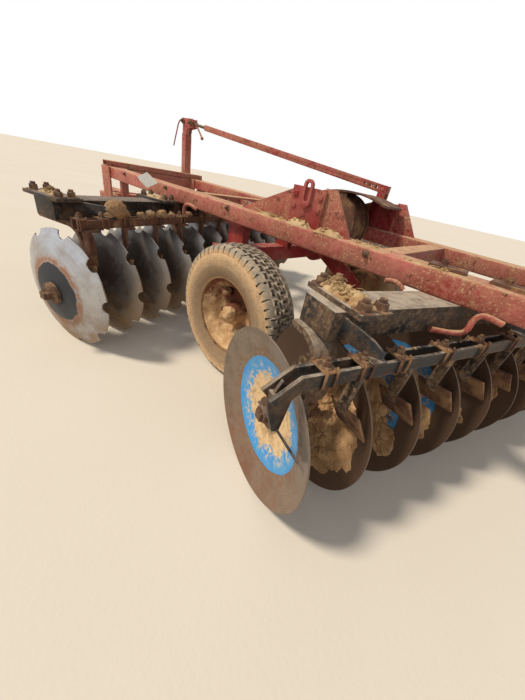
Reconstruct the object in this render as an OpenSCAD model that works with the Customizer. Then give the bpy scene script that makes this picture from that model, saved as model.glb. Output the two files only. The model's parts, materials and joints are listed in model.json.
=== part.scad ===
// Trailed offset disc harrow: two rails, a notched front gang and a plain rear gang
// set in a V, two transport wheels on a cranked shaft, and a hinged drawbar with a mast.
// Millimetres. X to the right, Y forward, Z up, ground at Z = 0.

/* [Rails] */
// Distance between the rails' centre lines
rail_gauge = 965; // [940:5:1000]
// Width of a rail, laid flat
rail_w = 150; // [140:5:160]
// Height of a rail
rail_h = 95; // [90:5:100]
// Height of the rails' lower face above the ground
rail_z = 790; // [785:1:800]
// Rear end of the rails
rail_y0 = -1420; // [-1460:10:-1400]
// Front end of the rails
rail_y1 = 2420; // [2410:5:2440]
// Width of a cross tube
cross_w = 100; // [96:1:104]
// Height of a cross tube
cross_h = 80; // [76:1:84]
// Distance of a cross tube's underside above the rails' underside
cross_up = 10; // [8:1:14]
// Distance of the end cross tubes' middles in from the rails' ends
cross_end_in = 55; // [52:1:60]
// Distance of the fore cross tube ahead of the wheel axle
cross_fore_y = 980; // [975:1:985]
// Distance of the middle cross tube behind the wheel axle
cross_mid_y = 570; // [565:1:575]
// Distance of the drawbar's cross tube ahead of its hinge
drawbar_cross_in = 250; // [245:1:255]

/* [Gangs] */
// Diameter of the discs
disc_d = 660; // [640:5:664]
// Thickness of the discs
disc_t = 6; // [5:1:8]
// Radius of the sphere that the discs are pressed from
disc_sphere_r = 760; // [740:10:800]
// Distance between discs along a gang
disc_pitch = 236; // [232:1:240]
// Number of discs on a gang
disc_count = 12; // [12:1:12]
// Number of scallops round a front disc
notch_count = 9; // [8:1:10]
// Radius of a scallop
notch_r = 38; // [30:1:45]
// Angle of the front gang, right end forward
front_angle = 16.7; // [16:0.1:17]
// Angle of the rear gang, right end back
rear_angle = 19.6; // [19:0.1:20]
// Width across flats of the square gang axle
axle_sq = 36; // [30:1:40]
// Radius of the spools between the discs
spool_r = 48; // [44:1:52]

/* [Gang beams] */
// Width of a gang beam, laid flat
beam_w = 150; // [140:5:160]
// Height of a gang beam
beam_h = 95; // [85:5:95]
// Width of a rear bearing hanger's flat bar
hanger_w = 90; // [84:1:94]
// Width of a front bearing hanger's flat bar
hanger_front_w = 70; // [64:1:72]
// Depth of a bearing hanger's bend behind the gang axle
hanger_r = 110; // [104:1:114]
// Distance of the front beam's middle ahead of its gang axle
beam_front_t = 105; // [95:5:115]
// Distance of the rear beam's middle behind its gang axle
beam_rear_t = 15; // [5:5:25]

/* [Scrapers] */
// Height of a scraper bar's flats
bar_h = 44; // [40:1:46]
// Thickness of a scraper bar's flats
bar_t = 12; // [10:1:14]
// Distance between the middles of the two flats
bar_gap = 45; // [42:1:48]
// Distance of the front scraper bar behind its gang axle
bar_front_t = -75; // [-85:1:-70]
// Height of the front scraper bar's middle
bar_front_z = 702; // [698:1:706]
// Distance of the rear scraper bar behind its gang axle
bar_rear_t = -160; // [-170:1:-156]
// Height of the rear scraper bar's middle
bar_rear_z = 656; // [654:1:662]
// Length of a scraper's blade
blade_l = 147; // [130:1:150]
// Height of a scraper's blade
blade_h = 101; // [90:1:104]
// Thickness of a scraper's blade
blade_t = 8; // [6:1:8]

/* [Wheels] */
// Outside diameter of a tyre
tyre_d = 764; // [756:2:768]
// Width of a tyre
tyre_w = 200; // [190:2:204]
// Radius over the rim's flanges
rim_r = 216; // [210:1:220]
// Distance between the tyres' centre planes
track = 1625; // [1615:5:1640]
// Distance of the crank shaft ahead of the wheel axle
shaft_y = 400; // [395:1:405]
// Height of the crank shaft above the ground
shaft_z = 590; // [585:1:595]
// Width across the flats of the crank shaft's tube
shaft_sq = 100; // [96:1:102]

/* [Drawbar] */
// Height of the drawbar's hinge pins
hinge_z = 580; // [575:1:585]
// Distance of the drawbar's hinge ahead of the wheel axle
hinge_y = 2330; // [2325:1:2335]
// Distance of the hitch pin ahead of the wheel axle
hitch_y = 3700; // [3650:10:3750]
// Height of the hitch pin's middle
hitch_z = 500; // [495:1:505]
// Radius of the hitch pin's hole
hitch_pin_r = 16; // [15:0.5:17]
// Distance of the mast's foot ahead of the wheel axle
mast_y = 2560; // [2550:5:2570]
// Height of the mast's pin
mast_pin_z = 1425; // [1420:1:1430]
// Height of the levelling tube's rear pin
link_rear_z = 1140; // [1135:1:1145]
// Distance of the levelling tube's rear pin behind the wheel axle
link_rear_y = 50; // [45:1:55]

/* [Hidden] */
$fn = 48;
// The origin is under the middle of the object's outline
shift_x = 111.4;
shift_y = -976.1;
rail_x = rail_gauge / 2;
rail_top = rail_z + rail_h;
disc_r = disc_d / 2;
dish = disc_sphere_r - sqrt(disc_sphere_r * disc_sphere_r - disc_r * disc_r);
// How far a disc's hollow face rises over the radius of a spool and of an end washer
washer_r = 62;
spool_sag = disc_sphere_r - sqrt(disc_sphere_r * disc_sphere_r - spool_r * spool_r) + 0.05;
washer_sag = disc_sphere_r - sqrt(disc_sphere_r * disc_sphere_r - washer_r * washer_r) + 0.05;
front_x = -1436;
front_y = 736;
rear_x = -1231;
rear_y = -615;
gang_l = (disc_count - 1) * disc_pitch;
beam_z = rail_z - beam_h;
tyre_r = tyre_d / 2;
wheel_x = track / 2;
// Places along a gang, in disc spaces, of its four bearings
BEARING_SPACES = [0, 3, 7, 10];
// Places along a gang, in disc spaces, of the scraper bar's struts, and their offset
STRUT_SPACES = [0, 4, 7, 10];
strut_s = 235;
// Turn of a strut's plate away from the bar's square
strut_turn = 33.7;
// Turn of a scraper's blade from the gang's axes
BLADE_TURN = [152.3, 11.4, 82];
// Outlines of the scrapers' shanks: the rear ones pass over the rim, the front ones hang beside it
leg_rear = bar_rear_z - bar_h / 2;
leg_front = bar_front_z - bar_h / 2;
SHANK_REAR = [
  [155, leg_rear], [-26, leg_rear], [-46, 510], [-30, 470],
  [-20, 474], [-35, 512], [-18, leg_rear - 10], [155, leg_rear - 10]
];
SHANK_FRONT = [
  [-130, leg_front], [-60, leg_front], [-60, 590], [-16, 474],
  [-28, 470], [-70, 586], [-70, leg_front - 10], [-130, leg_front - 10]
];
// The rear end disc's own scraper: length and turn of its blade
end_blade_l = 206;
END_BLADE_TURN = [-36.1, -24.1, 106.7];
// Ends of the beams along their gangs
beam_front_s0 = 25;
beam_front_s1 = 2636;
beam_rear_s0 = 130;
beam_rear_s1 = 2680;
// Clamp plates on the beams: middles along the gang, width, reach across the beam, thickness
plate_t = 16;
PLATES_FRONT = [80, 800, 1740, 2450];
plate_front_w = 140;
plate_front_t0 = -30;
plate_front_t1 = 240;
PLATES_REAR = [235, 1000, 2020, 2590];
plate_rear_w = 130;
plate_rear_t0 = -145;
plate_rear_t1 = 115;
// Distance of a wheel arm's middle plane from the machine's
arm_t = 40;
arm_gap = 62.5;
arm_x = wheel_x - tyre_w / 2 - arm_gap - arm_t / 2;

// Drum beside the right bracket, and the arched plate over it
drum_x0 = 160;
drum_l = 245;
drum_y = 130;
drum_z = 870;
drum_r = 190;
arch_r = 830;

// Lift cylinder: its front pin, the lever that it turns and its length at rest
lift_y = 880;
lift_z = 834;
lever_r = 150;
lever_tilt = 8;
lift_dy = lift_y - shaft_y + lever_r * sin(lever_tilt);
lift_dz = lift_z - shaft_z - lever_r * cos(lever_tilt);
lift_l = sqrt(lift_dy * lift_dy + lift_dz * lift_dz);
lift_tilt = atan2(lift_dz, lift_dy);

module place() {
  translate([shift_x, shift_y, 0]) children();
}
module at_front() {
  translate([front_x, front_y, 0]) rotate([0, 0, front_angle]) children();
}
module at_rear() {
  translate([rear_x, rear_y, 0]) rotate([0, 0, -rear_angle]) children();
}
// A cylinder along X, its middle at the origin
module xcyl(r, h) {
  rotate([0, 90, 0]) cylinder(r = r, h = h, center = true);
}
// A plate standing in the YZ plane, from a list of [y, z] points, centred on X = 0
module yz_plate(points, t) {
  rotate([90, 0, 90]) linear_extrude(t, center = true) polygon(points);
}
// A square tube along X with its middle at the origin
module xtube(l, a, b, wall) {
  difference() {
    cube([l, a, b], center = true);
    cube([l + 2, a - 2 * wall, b - 2 * wall], center = true);
  }
}

// Rails and cross tubes
module rail() {
  translate([0, (rail_y0 + rail_y1) / 2, rail_z + rail_h / 2]) difference() {
    cube([rail_w, rail_y1 - rail_y0, rail_h], center = true);
    cube([rail_w - 16, rail_y1 - rail_y0 - 12, rail_h - 16], center = true);
  }
}
module rail_left() {
  color("firebrick") translate([-rail_x, 0, 0]) rail();
}
module rail_right() {
  color("firebrick") translate([rail_x, 0, 0]) rail();
}
module cross(y, w, h, z) {
  translate([0, y, z + h / 2]) xtube(rail_gauge - rail_w, w, h, 8);
}
// The front cross tube lies on the rails' ends
module cross_front() {
  color("firebrick") translate([0, rail_y1 - cross_end_in, rail_top + 23]) xtube(rail_gauge + rail_w, cross_w, 46, 6);
  color("firebrick") translate([0, rail_y1 - cross_end_in, rail_z + 45]) xtube(rail_gauge - rail_w - 32, cross_w, 90, 8);
}
module cross_fore() {
  color("firebrick") cross(cross_fore_y, cross_w, cross_h, rail_z + cross_up);
  color("firebrick") for (x = [-22, 22]) translate([x, lift_y, lift_z]) difference() {
    union() {
      xcyl(34, 14);
      translate([-7, 0, -34]) cube([14, 50, 68]);
    }
    xcyl(15.05, 20);
  }
  color("dimgray") translate([0, lift_y, lift_z]) xcyl(15, 74);
}
module cross_mid() {
  color("firebrick") cross(-cross_mid_y, cross_w, cross_h, rail_z + cross_up);
}
module cross_rear() {
  color("firebrick") cross(rail_y0 + cross_end_in, cross_w, cross_h, rail_z + cross_up);
}

// Gang beams
module gang_beam(s0, s1) {
  translate([(s0 + s1) / 2, 0, beam_z + beam_h / 2]) difference() {
    cube([s1 - s0, beam_w, beam_h], center = true);
    cube([s1 - s0 - 12, beam_w - 16, beam_h - 16], center = true);
  }
}
// Plates on a beam's top face, sunk 1 mm into it
module clamp_plates(places, w, t0, t1) {
  for (s = places) translate([s - w / 2, t0, rail_z - 1]) cube([w, t1 - t0, plate_t + 1]);
}
module beam_front() {
  color("dimgray") at_front() {
    translate([0, beam_front_t, 0]) gang_beam(beam_front_s0, beam_front_s1);
    clamp_plates(PLATES_FRONT, plate_front_w, plate_front_t0, plate_front_t1);
  }
}
module beam_rear() {
  color("dimgray") at_rear() {
    translate([0, -beam_rear_t, 0]) gang_beam(beam_rear_s0, beam_rear_s1);
    clamp_plates(PLATES_REAR, plate_rear_w, plate_rear_t0, plate_rear_t1);
  }
}

// Bearing hanger: a flat bar bent to a C under the beam, with the bearing's housing at its foot
module hanger(reach, w) {
  difference() {
    union() {
      for (e = [-1, 1]) translate([0, 0, 545 + e * (150 - hanger_r)]) rotate([0, 90, 0]) difference() {
        cylinder(r = hanger_r, h = w, center = true);
        cylinder(r = hanger_r - 22, h = w + 2, center = true);
        translate([-200, 0, -60]) cube([400, 200, 120]);
        translate([e > 0 ? 0 : -400, -200, -60]) cube([400, 400, 120]);
      }
      translate([-w / 2, -hanger_r, 394 + hanger_r]) cube([w, 22, 302 - 2 * hanger_r]);
      translate([-w / 2, -1, 673]) cube([w, reach + 1, 22]);
      translate([-w / 2, -1, 395]) cube([w, 61, 22]);
      translate([0, 0, disc_r]) xcyl(78, w - 10);
    }
    translate([0, 0, disc_r]) xcyl(spool_r + 0.05, 120);
  }
}
module hangers_front() {
  color("saddlebrown") at_front() for (k = BEARING_SPACES)
    translate([k * disc_pitch + 96, 0, 0]) hanger(plate_front_t1, hanger_front_w);
}
module hangers_rear() {
  color("saddlebrown") at_rear() for (k = BEARING_SPACES)
    translate([k * disc_pitch + 150, 0, 0]) hanger(60, hanger_w);
}

// Scraper bar: two flat bars with a gap between them, held off the beam by struts
module scraper_bar(t, z, t_beam, s0, strut_low) {
  reach = (t_beam - t + bar_gap / 2 + 20) / cos(strut_turn);
  for (o = [0, bar_gap])
    translate([s0, t - o - bar_t / 2, z - bar_h / 2]) cube([gang_l + 60, bar_t, bar_h]);
  for (k = STRUT_SPACES)
    translate([k * disc_pitch + strut_s, 0, 0]) {
      translate([0, t - bar_gap / 2, z + bar_h / 2 + 6]) cube([60, bar_gap + 24, 12], center = true);
      difference() {
        translate([0, t - bar_gap / 2, 0]) rotate([0, 0, strut_turn]) yz_plate([
          [-30, z + bar_h / 2 + 11], [30, z + bar_h / 2 + 11], [reach, beam_z + strut_low],
          [reach, beam_z + 90], [10, z + bar_h / 2 + 60], [-30, z + bar_h / 2 + 34]
        ], 14);
        translate([-300, t_beam, beam_z]) cube([600, 200, 200]);
      }
    }
}
module scraper_bar_front() {
  color("dimgray") at_front() scraper_bar(bar_front_t, bar_front_z, beam_front_t - beam_w / 2, 40, 50);
}
module scraper_bar_rear() {
  color("dimgray") at_rear() scraper_bar(bar_rear_t, bar_rear_z, -beam_rear_t - beam_w / 2, -10, 22);
}
// Scraper: a flat shank clamped under the bar, with a blade in the disc's hollow
module scraper(t, shank) {
  translate([0, t + 20, 0]) rotate([90, 0, 0]) linear_extrude(40) polygon(shank);
  translate([-15.5, t - 19.5, 462]) rotate(BLADE_TURN) cube([blade_l, blade_t, blade_h], center = true);
}
// The rear bar's left end is bent down to a plate with a long blade in the end disc's hollow
module end_scraper() {
  for (o = [0, bar_gap])
    translate([-10, bar_rear_t - o + bar_t / 2, bar_rear_z - bar_h / 2]) rotate([90, 0, 0])
      linear_extrude(bar_t) polygon([[0, 0], [0, bar_h], [-14, bar_h], [-96, -16], [-66, -52], [-2, 0]]);
  translate([0, bar_rear_t - bar_gap + bar_t / 2 + 24, 0]) rotate([90, 0, 0]) linear_extrude(10)
    polygon([[-62, 658], [-14, 600], [-34, 462], [-58, 470], [-96, 586]]);
  translate([-88, bar_rear_t - bar_gap + 5, 600]) cube([24, bar_gap - 10, 20]);
  translate([-24, -173, 446]) rotate(END_BLADE_TURN) cube([end_blade_l, 8, 66], center = true);
}
module scrapers_front() {
  color("saddlebrown") at_front() for (k = [0 : disc_count - 1])
    translate([k * disc_pitch, 0, 0]) mirror([1, 0, 0]) scraper(bar_front_t - bar_gap - 15, SHANK_FRONT);
}
module scrapers_rear() {
  color("saddlebrown") at_rear() for (k = [1 : disc_count - 1])
    translate([k * disc_pitch, 0, 0]) scraper(bar_rear_t - bar_gap / 2 - 2, SHANK_REAR);
  color("dimgray") at_rear() end_scraper();
}

// Centre brackets on the rails: a bolted plate between two gussets, with a slotted lug on top
module centre_bracket() {
  translate([0, 0, rail_top]) {
    difference() {
      yz_plate([[400, 0], [-20, 0], [-20, 175]], 14);
      translate([0, -20, 200]) xcyl(20, 20);
    }
    difference() {
      yz_plate([[-190, 0], [-390, 0], [-250, 190], [-190, 190]], 14);
    }
    translate([-25, -205, 0]) cube([14, 205, 180]);
    translate([-11, -32, 0]) cube([100, 14, 150]);
    translate([-11, -204, 0]) cube([100, 14, 150]);
    for (y = [-24, -181])
      for (z = [88, 145])
        translate([-32, y, z]) rotate([0, 90, 0]) cylinder(r = 15, h = 12, $fn = 6);
  }
}
module slot_lug() {
  difference() {
    hull() {
      translate([0, 0, 1072]) xcyl(28, 16);
      translate([0, 0, 1000]) xcyl(28, 16);
    }
    hull() {
      translate([0, 0, 1072]) xcyl(14, 20);
      translate([0, 0, 1015]) xcyl(14, 20);
    }
  }
}
module bracket_left() {
  color("crimson") translate([-rail_x, 0, 0]) {
    centre_bracket();
    translate([-32.5, -102, 0]) slot_lug();
  }
}
module bracket_right() {
  color("crimson") translate([rail_x, 0, 0]) {
    centre_bracket();
    for (x = [-30, 30]) translate([x, 0, 0]) difference() {
      yz_plate([[-80, rail_top], [-20, rail_top], [-20, 1165], [-80, 1165]], 10);
      translate([0, -link_rear_y, link_rear_z]) xcyl(13.05, 20);
    }
  }
}

// Drum beside the right bracket: one end closed, two rings round it, under an arched plate
module guard_drum() {
  color("sienna") {
    translate([drum_x0, drum_y, drum_z]) rotate([0, 90, 0]) difference() {
      union() {
        cylinder(r = drum_r, h = drum_l, $fn = 96);
        for (x = [130, 190]) translate([0, 0, x]) cylinder(r = drum_r + 14, h = 10, $fn = 96);
      }
      translate([0, 0, 12]) cylinder(r = drum_r - 10, h = drum_l, $fn = 96);
    }
    difference() {
      translate([drum_x0 - 10, 30, 260]) rotate([0, 90, 0]) difference() {
        cylinder(r = arch_r, h = rail_x - 35 - drum_x0 + 10, $fn = 180);
        translate([0, 0, -5]) cylinder(r = arch_r - 12, h = 400, $fn = 180);
      }
      translate([0, -1240, -600]) cube([900, 1000, 1800]);
      translate([0, 300, -600]) cube([900, 1000, 1800]);
      translate([0, -300, -600]) cube([900, 700, 1600]);
    }
    translate([drum_x0, 60, 1040]) cube([12, 140, 34]);
  }
}

// Bearings of the crank shaft, hung under the rails
module shaft_bearings() {
  color("firebrick") for (x = [-1, 1]) translate([x * rail_x, shaft_y, 0]) difference() {
    union() {
      translate([0, 0, shaft_z]) xcyl(100, 60);
      translate([-30, -70, shaft_z + 40]) cube([60, 140, rail_z - shaft_z - 40]);
      translate([-60, -80, rail_z - 14]) cube([120, 160, 14]);
    }
    translate([0, 0, shaft_z]) xcyl(75.05, 80);
  }
}

// Ears under the rails' front ends for the drawbar's hinge
module hitch_ears() {
  color("firebrick") for (x = [-1, 1]) for (e = [-1, 1])
    translate([x * rail_x + e * (rail_w / 2 + 8), 0, 0]) difference() {
      yz_plate([
        [2240, rail_top], [2240, hinge_z - 20], [hinge_y - 45, hinge_z - 45],
        [hinge_y + 45, hinge_z - 45], [rail_y1, hinge_z - 20], [rail_y1, rail_top]
      ], 16);
      translate([0, hinge_y, hinge_z]) xcyl(20.05, 30);
    }
}

// Gang axles with spools, washers and nuts
module gang_axle(dish_side) {
  spool_l = disc_pitch - disc_t - spool_sag - 0.1;
  translate([0, 0, disc_r]) {
    for (k = [0 : disc_count - 2])
      translate([k * disc_pitch + dish_side * dish + disc_pitch / 2 - dish_side * spool_sag / 2, 0, 0])
        xcyl(spool_r, spool_l);
    translate([gang_l / 2 + dish_side * dish, 0, 0]) cube([gang_l + 130, axle_sq, axle_sq], center = true);
    for (e = [-1, 1])
      translate([gang_l / 2 + dish_side * dish + e * (gang_l / 2 + disc_t / 2 + 0.05), 0, 0]) {
        sag = e == dish_side ? 0 : washer_sag;
        translate([e * (9 + sag), 0, 0]) xcyl(washer_r, 18);
        translate([e * (33 + sag), 0, 0]) rotate([0, 90, 0]) cylinder(r = 34, h = 30, center = true, $fn = 6);
      }
  }
}
// A spherical disc: rim plane at X = 0, dished towards side
module disc_blank(side) {
  scale([1, 1, 1]) translate([0, 0, disc_r]) rotate([0, side * 90, 0]) difference() {
    intersection() {
      translate([0, 0, dish - disc_sphere_r]) difference() {
        sphere(r = disc_sphere_r + disc_t / 2, $fn = 96);
        sphere(r = disc_sphere_r - disc_t / 2, $fn = 96);
      }
      translate([0, 0, -20]) cylinder(r = disc_r, h = dish + 40, $fn = 96);
    }
    translate([0, 0, dish]) cube([axle_sq + 1, axle_sq + 1, 60], center = true);
  }
}
module notched_disc() {
  difference() {
    disc_blank(-1);
    translate([0, 0, disc_r]) for (k = [0 : notch_count - 1])
      rotate([k * 360 / notch_count + 10, 0, 0])
        translate([0, 0, disc_r + 8]) xcyl(notch_r, 80);
  }
}
module axle_front() {
  color("gray") at_front() gang_axle(-1);
}
module discs_front() {
  color("silver") at_front() for (k = [0 : disc_count - 1])
    translate([k * disc_pitch, 0, 0]) notched_disc();
}
module axle_rear() {
  color("gray") at_rear() gang_axle(1);
}
module discs_rear() {
  color("steelblue") at_rear() for (k = [0 : disc_count - 1])
    translate([k * disc_pitch, 0, 0]) disc_blank(1);
}

// Crank shaft with its journals and lift lever, wheel arms and stub axles
module crank_shaft() {
  color("darkred") translate([0, shaft_y, shaft_z]) {
    cube([2 * arm_x + arm_t, shaft_sq, shaft_sq], center = true);
    for (x = [-1, 1]) translate([x * rail_x, 0, 0]) xcyl(75, 90);
    for (x = [-26, 26]) translate([x, 0, 0]) rotate([lever_tilt, 0, 0]) difference() {
      yz_plate([[-60, 40], [-46, lever_r + 34], [46, lever_r + 34], [60, 40]], 14);
      translate([0, 0, lever_r]) xcyl(28, 20);
    }
  }
}
module wheel_arms() {
  color("darkred") for (x = [-1, 1]) {
    translate([x * arm_x, 0, 0]) difference() {
      union() {
        yz_plate([
          [shaft_y + 60, shaft_z + 60], [shaft_y - 60, shaft_z + 60], [-60, tyre_r + 30],
          [-60, tyre_r - 55], [40, tyre_r - 60], [shaft_y + 60, shaft_z - 60]
        ], arm_t);
      }
      translate([0, shaft_y, shaft_z]) cube([60, shaft_sq, shaft_sq], center = true);
    }
    translate([x * (arm_x + arm_t / 2), 0, tyre_r]) rotate([0, x * 90, 0]) cylinder(r = 28, h = arm_gap + tyre_w / 2 - 12.5);
  }
}

// Wheels
module tyre() {
  a = tyre_w / 2;
  rotate([0, 90, 0]) rotate_extrude($fn = 96) polygon([
    [rim_r - 10.5, -66], [rim_r + 0.3, -68], [rim_r + 0.3, -79], [rim_r + 14, -85], [tyre_r - 120, -a], [tyre_r - 60, -a + 4], [tyre_r - 18, -a + 18],
    [tyre_r - 4, -55], [tyre_r, 0], [tyre_r - 4, 55], [tyre_r - 18, a - 18], [tyre_r - 60, a - 4],
    [tyre_r - 120, a], [rim_r + 14, 85], [rim_r + 0.3, 79], [rim_r + 0.3, 68], [rim_r - 10.5, 66]
  ]);
}
// side is -1 for the left wheel, whose outer face looks to -X
module rim(side) {
  rotate([0, side * 90, 0]) difference() {
    union() {
      rotate_extrude($fn = 96) polygon([
        [rim_r, -82], [rim_r, -70], [rim_r - 11, -69], [rim_r - 16, -40], [rim_r - 45, -20], [rim_r - 45, 20],
        [rim_r - 16, 40], [rim_r - 11, 69], [rim_r, 70], [rim_r, 82], [rim_r - 8, 82], [rim_r - 22, 46],
        [rim_r - 52, 26], [rim_r - 52, -8], [100, -40], [0, -40], [0, -50], [104, -50],
        [rim_r - 54, -20], [rim_r - 50, -26], [rim_r - 22, -46], [rim_r - 8, -82]
      ]);
      translate([0, 0, -75]) cylinder(r = 62, h = 40);
      translate([0, 0, -42]) cylinder(r = 52, h = 72);
      for (k = [0 : 4]) rotate([0, 0, k * 72]) translate([80, 0, -42]) cylinder(r = 13, h = 14, $fn = 6);
    }
    translate([0, 0, -90]) cylinder(r = 28.05, h = 100);
  }
}
module tyre_left() {
  color("dimgray") translate([-wheel_x, 0, tyre_r]) tyre();
}
module tyre_right() {
  color("dimgray") translate([wheel_x, 0, tyre_r]) tyre();
}
module rim_left() {
  color("tan") translate([-wheel_x, 0, tyre_r]) rim(-1);
}
module rim_right() {
  color("tan") translate([wheel_x, 0, tyre_r]) rim(1);
}

// Lift cylinder between the cross tube and the crank shaft's lever
module lift_frame() {
  translate([0, lift_y, lift_z]) rotate([lift_tilt, 0, 0]) children();
}
module lift_barrel() {
  color("dimgray") lift_frame() difference() {
    union() {
      xcyl(32, 26);
      translate([-13, -60, -26]) cube([26, 60, 52]);
      translate([0, -50, 0]) rotate([90, 0, 0]) cylinder(r = 45, h = 300);
    }
    xcyl(15.05, 40);
    translate([0, -80, 0]) rotate([90, 0, 0]) cylinder(r = 25.05, h = 280);
  }
}
module lift_rod() {
  color("lightgray") lift_frame() {
    translate([0, -180, 0]) rotate([90, 0, 0]) cylinder(r = 25, h = lift_l - 260);
    translate([-17, -lift_l, -22]) cube([34, 90, 44]);
    translate([0, -lift_l, 0]) xcyl(32, 34);
    translate([0, -lift_l, 0]) xcyl(14, 92);
    for (x = [-1, 1]) translate([x * 42, -lift_l, 0]) xcyl(44, 8);
  }
}

// Drawbar: two arms from the hinge to the tongue, cross tube, mast
module drawbar_arm(x) {
  translate([x * rail_x, hinge_y, hinge_z]) {
    xcyl(45, 140);
    xcyl(20, 200);
    translate([-50, 30, -40]) cube([100, 300, 80]);
  }
  hull() {
    translate([x * rail_x - 50, hinge_y + 325, hinge_z - 40]) cube([100, 5, 80]);
    translate([x * 110 - 50, 3420, hitch_z - 40]) cube([100, 5, 80]);
  }
}
module drawbar_arm_left() {
  color("firebrick") drawbar_arm(-1);
}
module drawbar_arm_right() {
  color("firebrick") drawbar_arm(1);
}
module drawbar_cross() {
  color("firebrick") translate([0, hinge_y + drawbar_cross_in, hinge_z]) xtube(rail_gauge - 100, cross_h, cross_h, 8);
}
module drawbar_tongue() {
  color("firebrick") {
    translate([-60, 3300, hitch_z - 50]) cube([120, 340, 100]);
    difference() {
      union() {
        for (z = [-1, 1]) translate([0, 0, hitch_z + z * 38 - 12]) {
          translate([-50, 3640, 0]) cube([100, hitch_y - 3640, 24]);
          translate([0, hitch_y, 0]) cylinder(r = 50, h = 24);
        }
      }
      translate([0, hitch_y, hitch_z - 60]) cylinder(r = hitch_pin_r, h = 120);
    }
  }
}
module mast() {
  color("firebrick") translate([rail_x, mast_y, 0]) {
    translate([-40, -40, hinge_z + 40]) cube([80, 80, 700]);
    for (x = [-28, 28]) translate([x, 0, 0]) difference() {
      yz_plate([[-40, hinge_z + 720], [40, hinge_z + 720], [30, 1470], [-160, 1465], [-160, 1385], [-60, 1370]], 12);
      translate([0, -130, mast_pin_z]) xcyl(22, 20);
    }
  }
}

// Levelling tube from the right bracket to the mast, with a screw at its front end
link_dy = mast_y - 130 + link_rear_y;
link_dz = mast_pin_z - link_rear_z;
link_l = sqrt(link_dy * link_dy + link_dz * link_dz);
link_tilt = atan2(link_dz, link_dy);
module link_frame() {
  translate([rail_x, -link_rear_y, link_rear_z]) rotate([link_tilt, 0, 0]) children();
}
module level_tube() {
  color("firebrick") link_frame() {
    difference() {
      union() {
        translate([-20, -34, -26]) cube([40, link_l - 210, 52]);
      }
      translate([0, link_l - 760, 0]) rotate([-90, 0, 0]) cylinder(r = 14.05, h = 800);
      for (y = [60, 110, 160]) translate([0, y, 0]) xcyl(11, 60);
    }
    xcyl(13, 76);
  }
}
module level_screw() {
  color("gray") link_frame() {
    translate([0, link_l - 620, 0]) rotate([-90, 0, 0]) cylinder(r = 14, h = 600);
    translate([0, link_l, 0]) xcyl(24, 38);
    translate([0, link_l, 0]) xcyl(12, 90);
  }
}

place() rail_left();
place() rail_right();
place() cross_front();
place() cross_fore();
place() cross_mid();
place() cross_rear();
place() beam_front();
place() beam_rear();
place() hangers_front();
place() hangers_rear();
place() scraper_bar_front();
place() scraper_bar_rear();
place() scrapers_front();
place() scrapers_rear();
place() bracket_left();
place() bracket_right();
place() guard_drum();
place() shaft_bearings();
place() hitch_ears();
place() axle_front();
place() discs_front();
place() axle_rear();
place() discs_rear();
place() crank_shaft();
place() wheel_arms();
place() tyre_left();
place() rim_left();
place() tyre_right();
place() rim_right();
place() lift_barrel();
place() lift_rod();
place() drawbar_arm_left();
place() drawbar_arm_right();
place() drawbar_cross();
place() drawbar_tongue();
place() mast();
place() level_tube();
place() level_screw();
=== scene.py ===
"""Looks of a trailed offset disc harrow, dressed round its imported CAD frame."""
import json
import math
import random

import bmesh
import bpy
from mathutils import Matrix, Vector, noise


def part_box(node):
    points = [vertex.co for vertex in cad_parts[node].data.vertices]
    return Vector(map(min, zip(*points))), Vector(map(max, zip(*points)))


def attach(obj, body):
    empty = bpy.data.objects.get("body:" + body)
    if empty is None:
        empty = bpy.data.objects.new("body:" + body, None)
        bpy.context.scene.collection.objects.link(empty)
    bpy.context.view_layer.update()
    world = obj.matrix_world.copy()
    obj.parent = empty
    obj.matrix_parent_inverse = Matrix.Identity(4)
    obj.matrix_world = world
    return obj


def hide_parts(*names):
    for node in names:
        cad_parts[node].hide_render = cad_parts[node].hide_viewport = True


bl_info = {
    "name": "Disc harrow looks",
    "version": (1, 0, 0),
    "blender": (4, 5, 0),
    "location": "View3D > Sidebar > Harrow",
    "description": "Dresses the packed disc harrow with worn paint, earth and fasteners",
    "category": "Object",
}

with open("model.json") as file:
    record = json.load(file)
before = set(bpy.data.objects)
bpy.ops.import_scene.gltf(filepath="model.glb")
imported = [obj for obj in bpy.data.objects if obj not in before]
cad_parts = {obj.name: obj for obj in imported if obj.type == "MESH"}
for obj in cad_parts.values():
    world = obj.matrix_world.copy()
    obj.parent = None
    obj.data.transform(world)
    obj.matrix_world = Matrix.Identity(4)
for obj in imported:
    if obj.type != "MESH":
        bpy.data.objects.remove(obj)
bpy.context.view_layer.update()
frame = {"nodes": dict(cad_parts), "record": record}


def at(x, y, z):
    """A shift to a place."""
    return Matrix.Translation((x, y, z))


def turned(degrees, axis):
    """A turn about an axis through the origin."""
    return Matrix.Rotation(math.radians(degrees), 4, axis)


# Places of the machine, in metres. The machine's own origin is on the ground between the wheels.
# A gang's frame has its origin below its left end disc and X along the axle.
RAIL_AHEAD = 2.420
LEFT_LO, LEFT_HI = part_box("rail_left")
RIGHT_LO, RIGHT_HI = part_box("rail_right")
MIDDLE = Vector(((LEFT_LO.x + RIGHT_HI.x) / 2, LEFT_HI.y - RAIL_AHEAD, 0))
RAIL_X = (RIGHT_HI.x + RIGHT_LO.x) / 2 - MIDDLE.x
RAIL_TOP = LEFT_HI.z
BEAM_TOP = LEFT_LO.z
PLATE_TOP = BEAM_TOP + 0.016
AXLE_Z = 0.330
MACHINE = at(*MIDDLE)
FRONT = at(*(MIDDLE + Vector((-1.436, 0.736, 0)))) @ turned(16.7, "Z")
REAR = at(*(MIDDLE + Vector((-1.231, -0.615, 0)))) @ turned(-19.6, "Z")
PITCH = 0.236
DISC_R = 0.330
SPHERE_R = 0.760
DISH = SPHERE_R - math.sqrt(SPHERE_R**2 - DISC_R**2)
WHEEL_X = 0.8125
TYRE_R = 0.382

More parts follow.
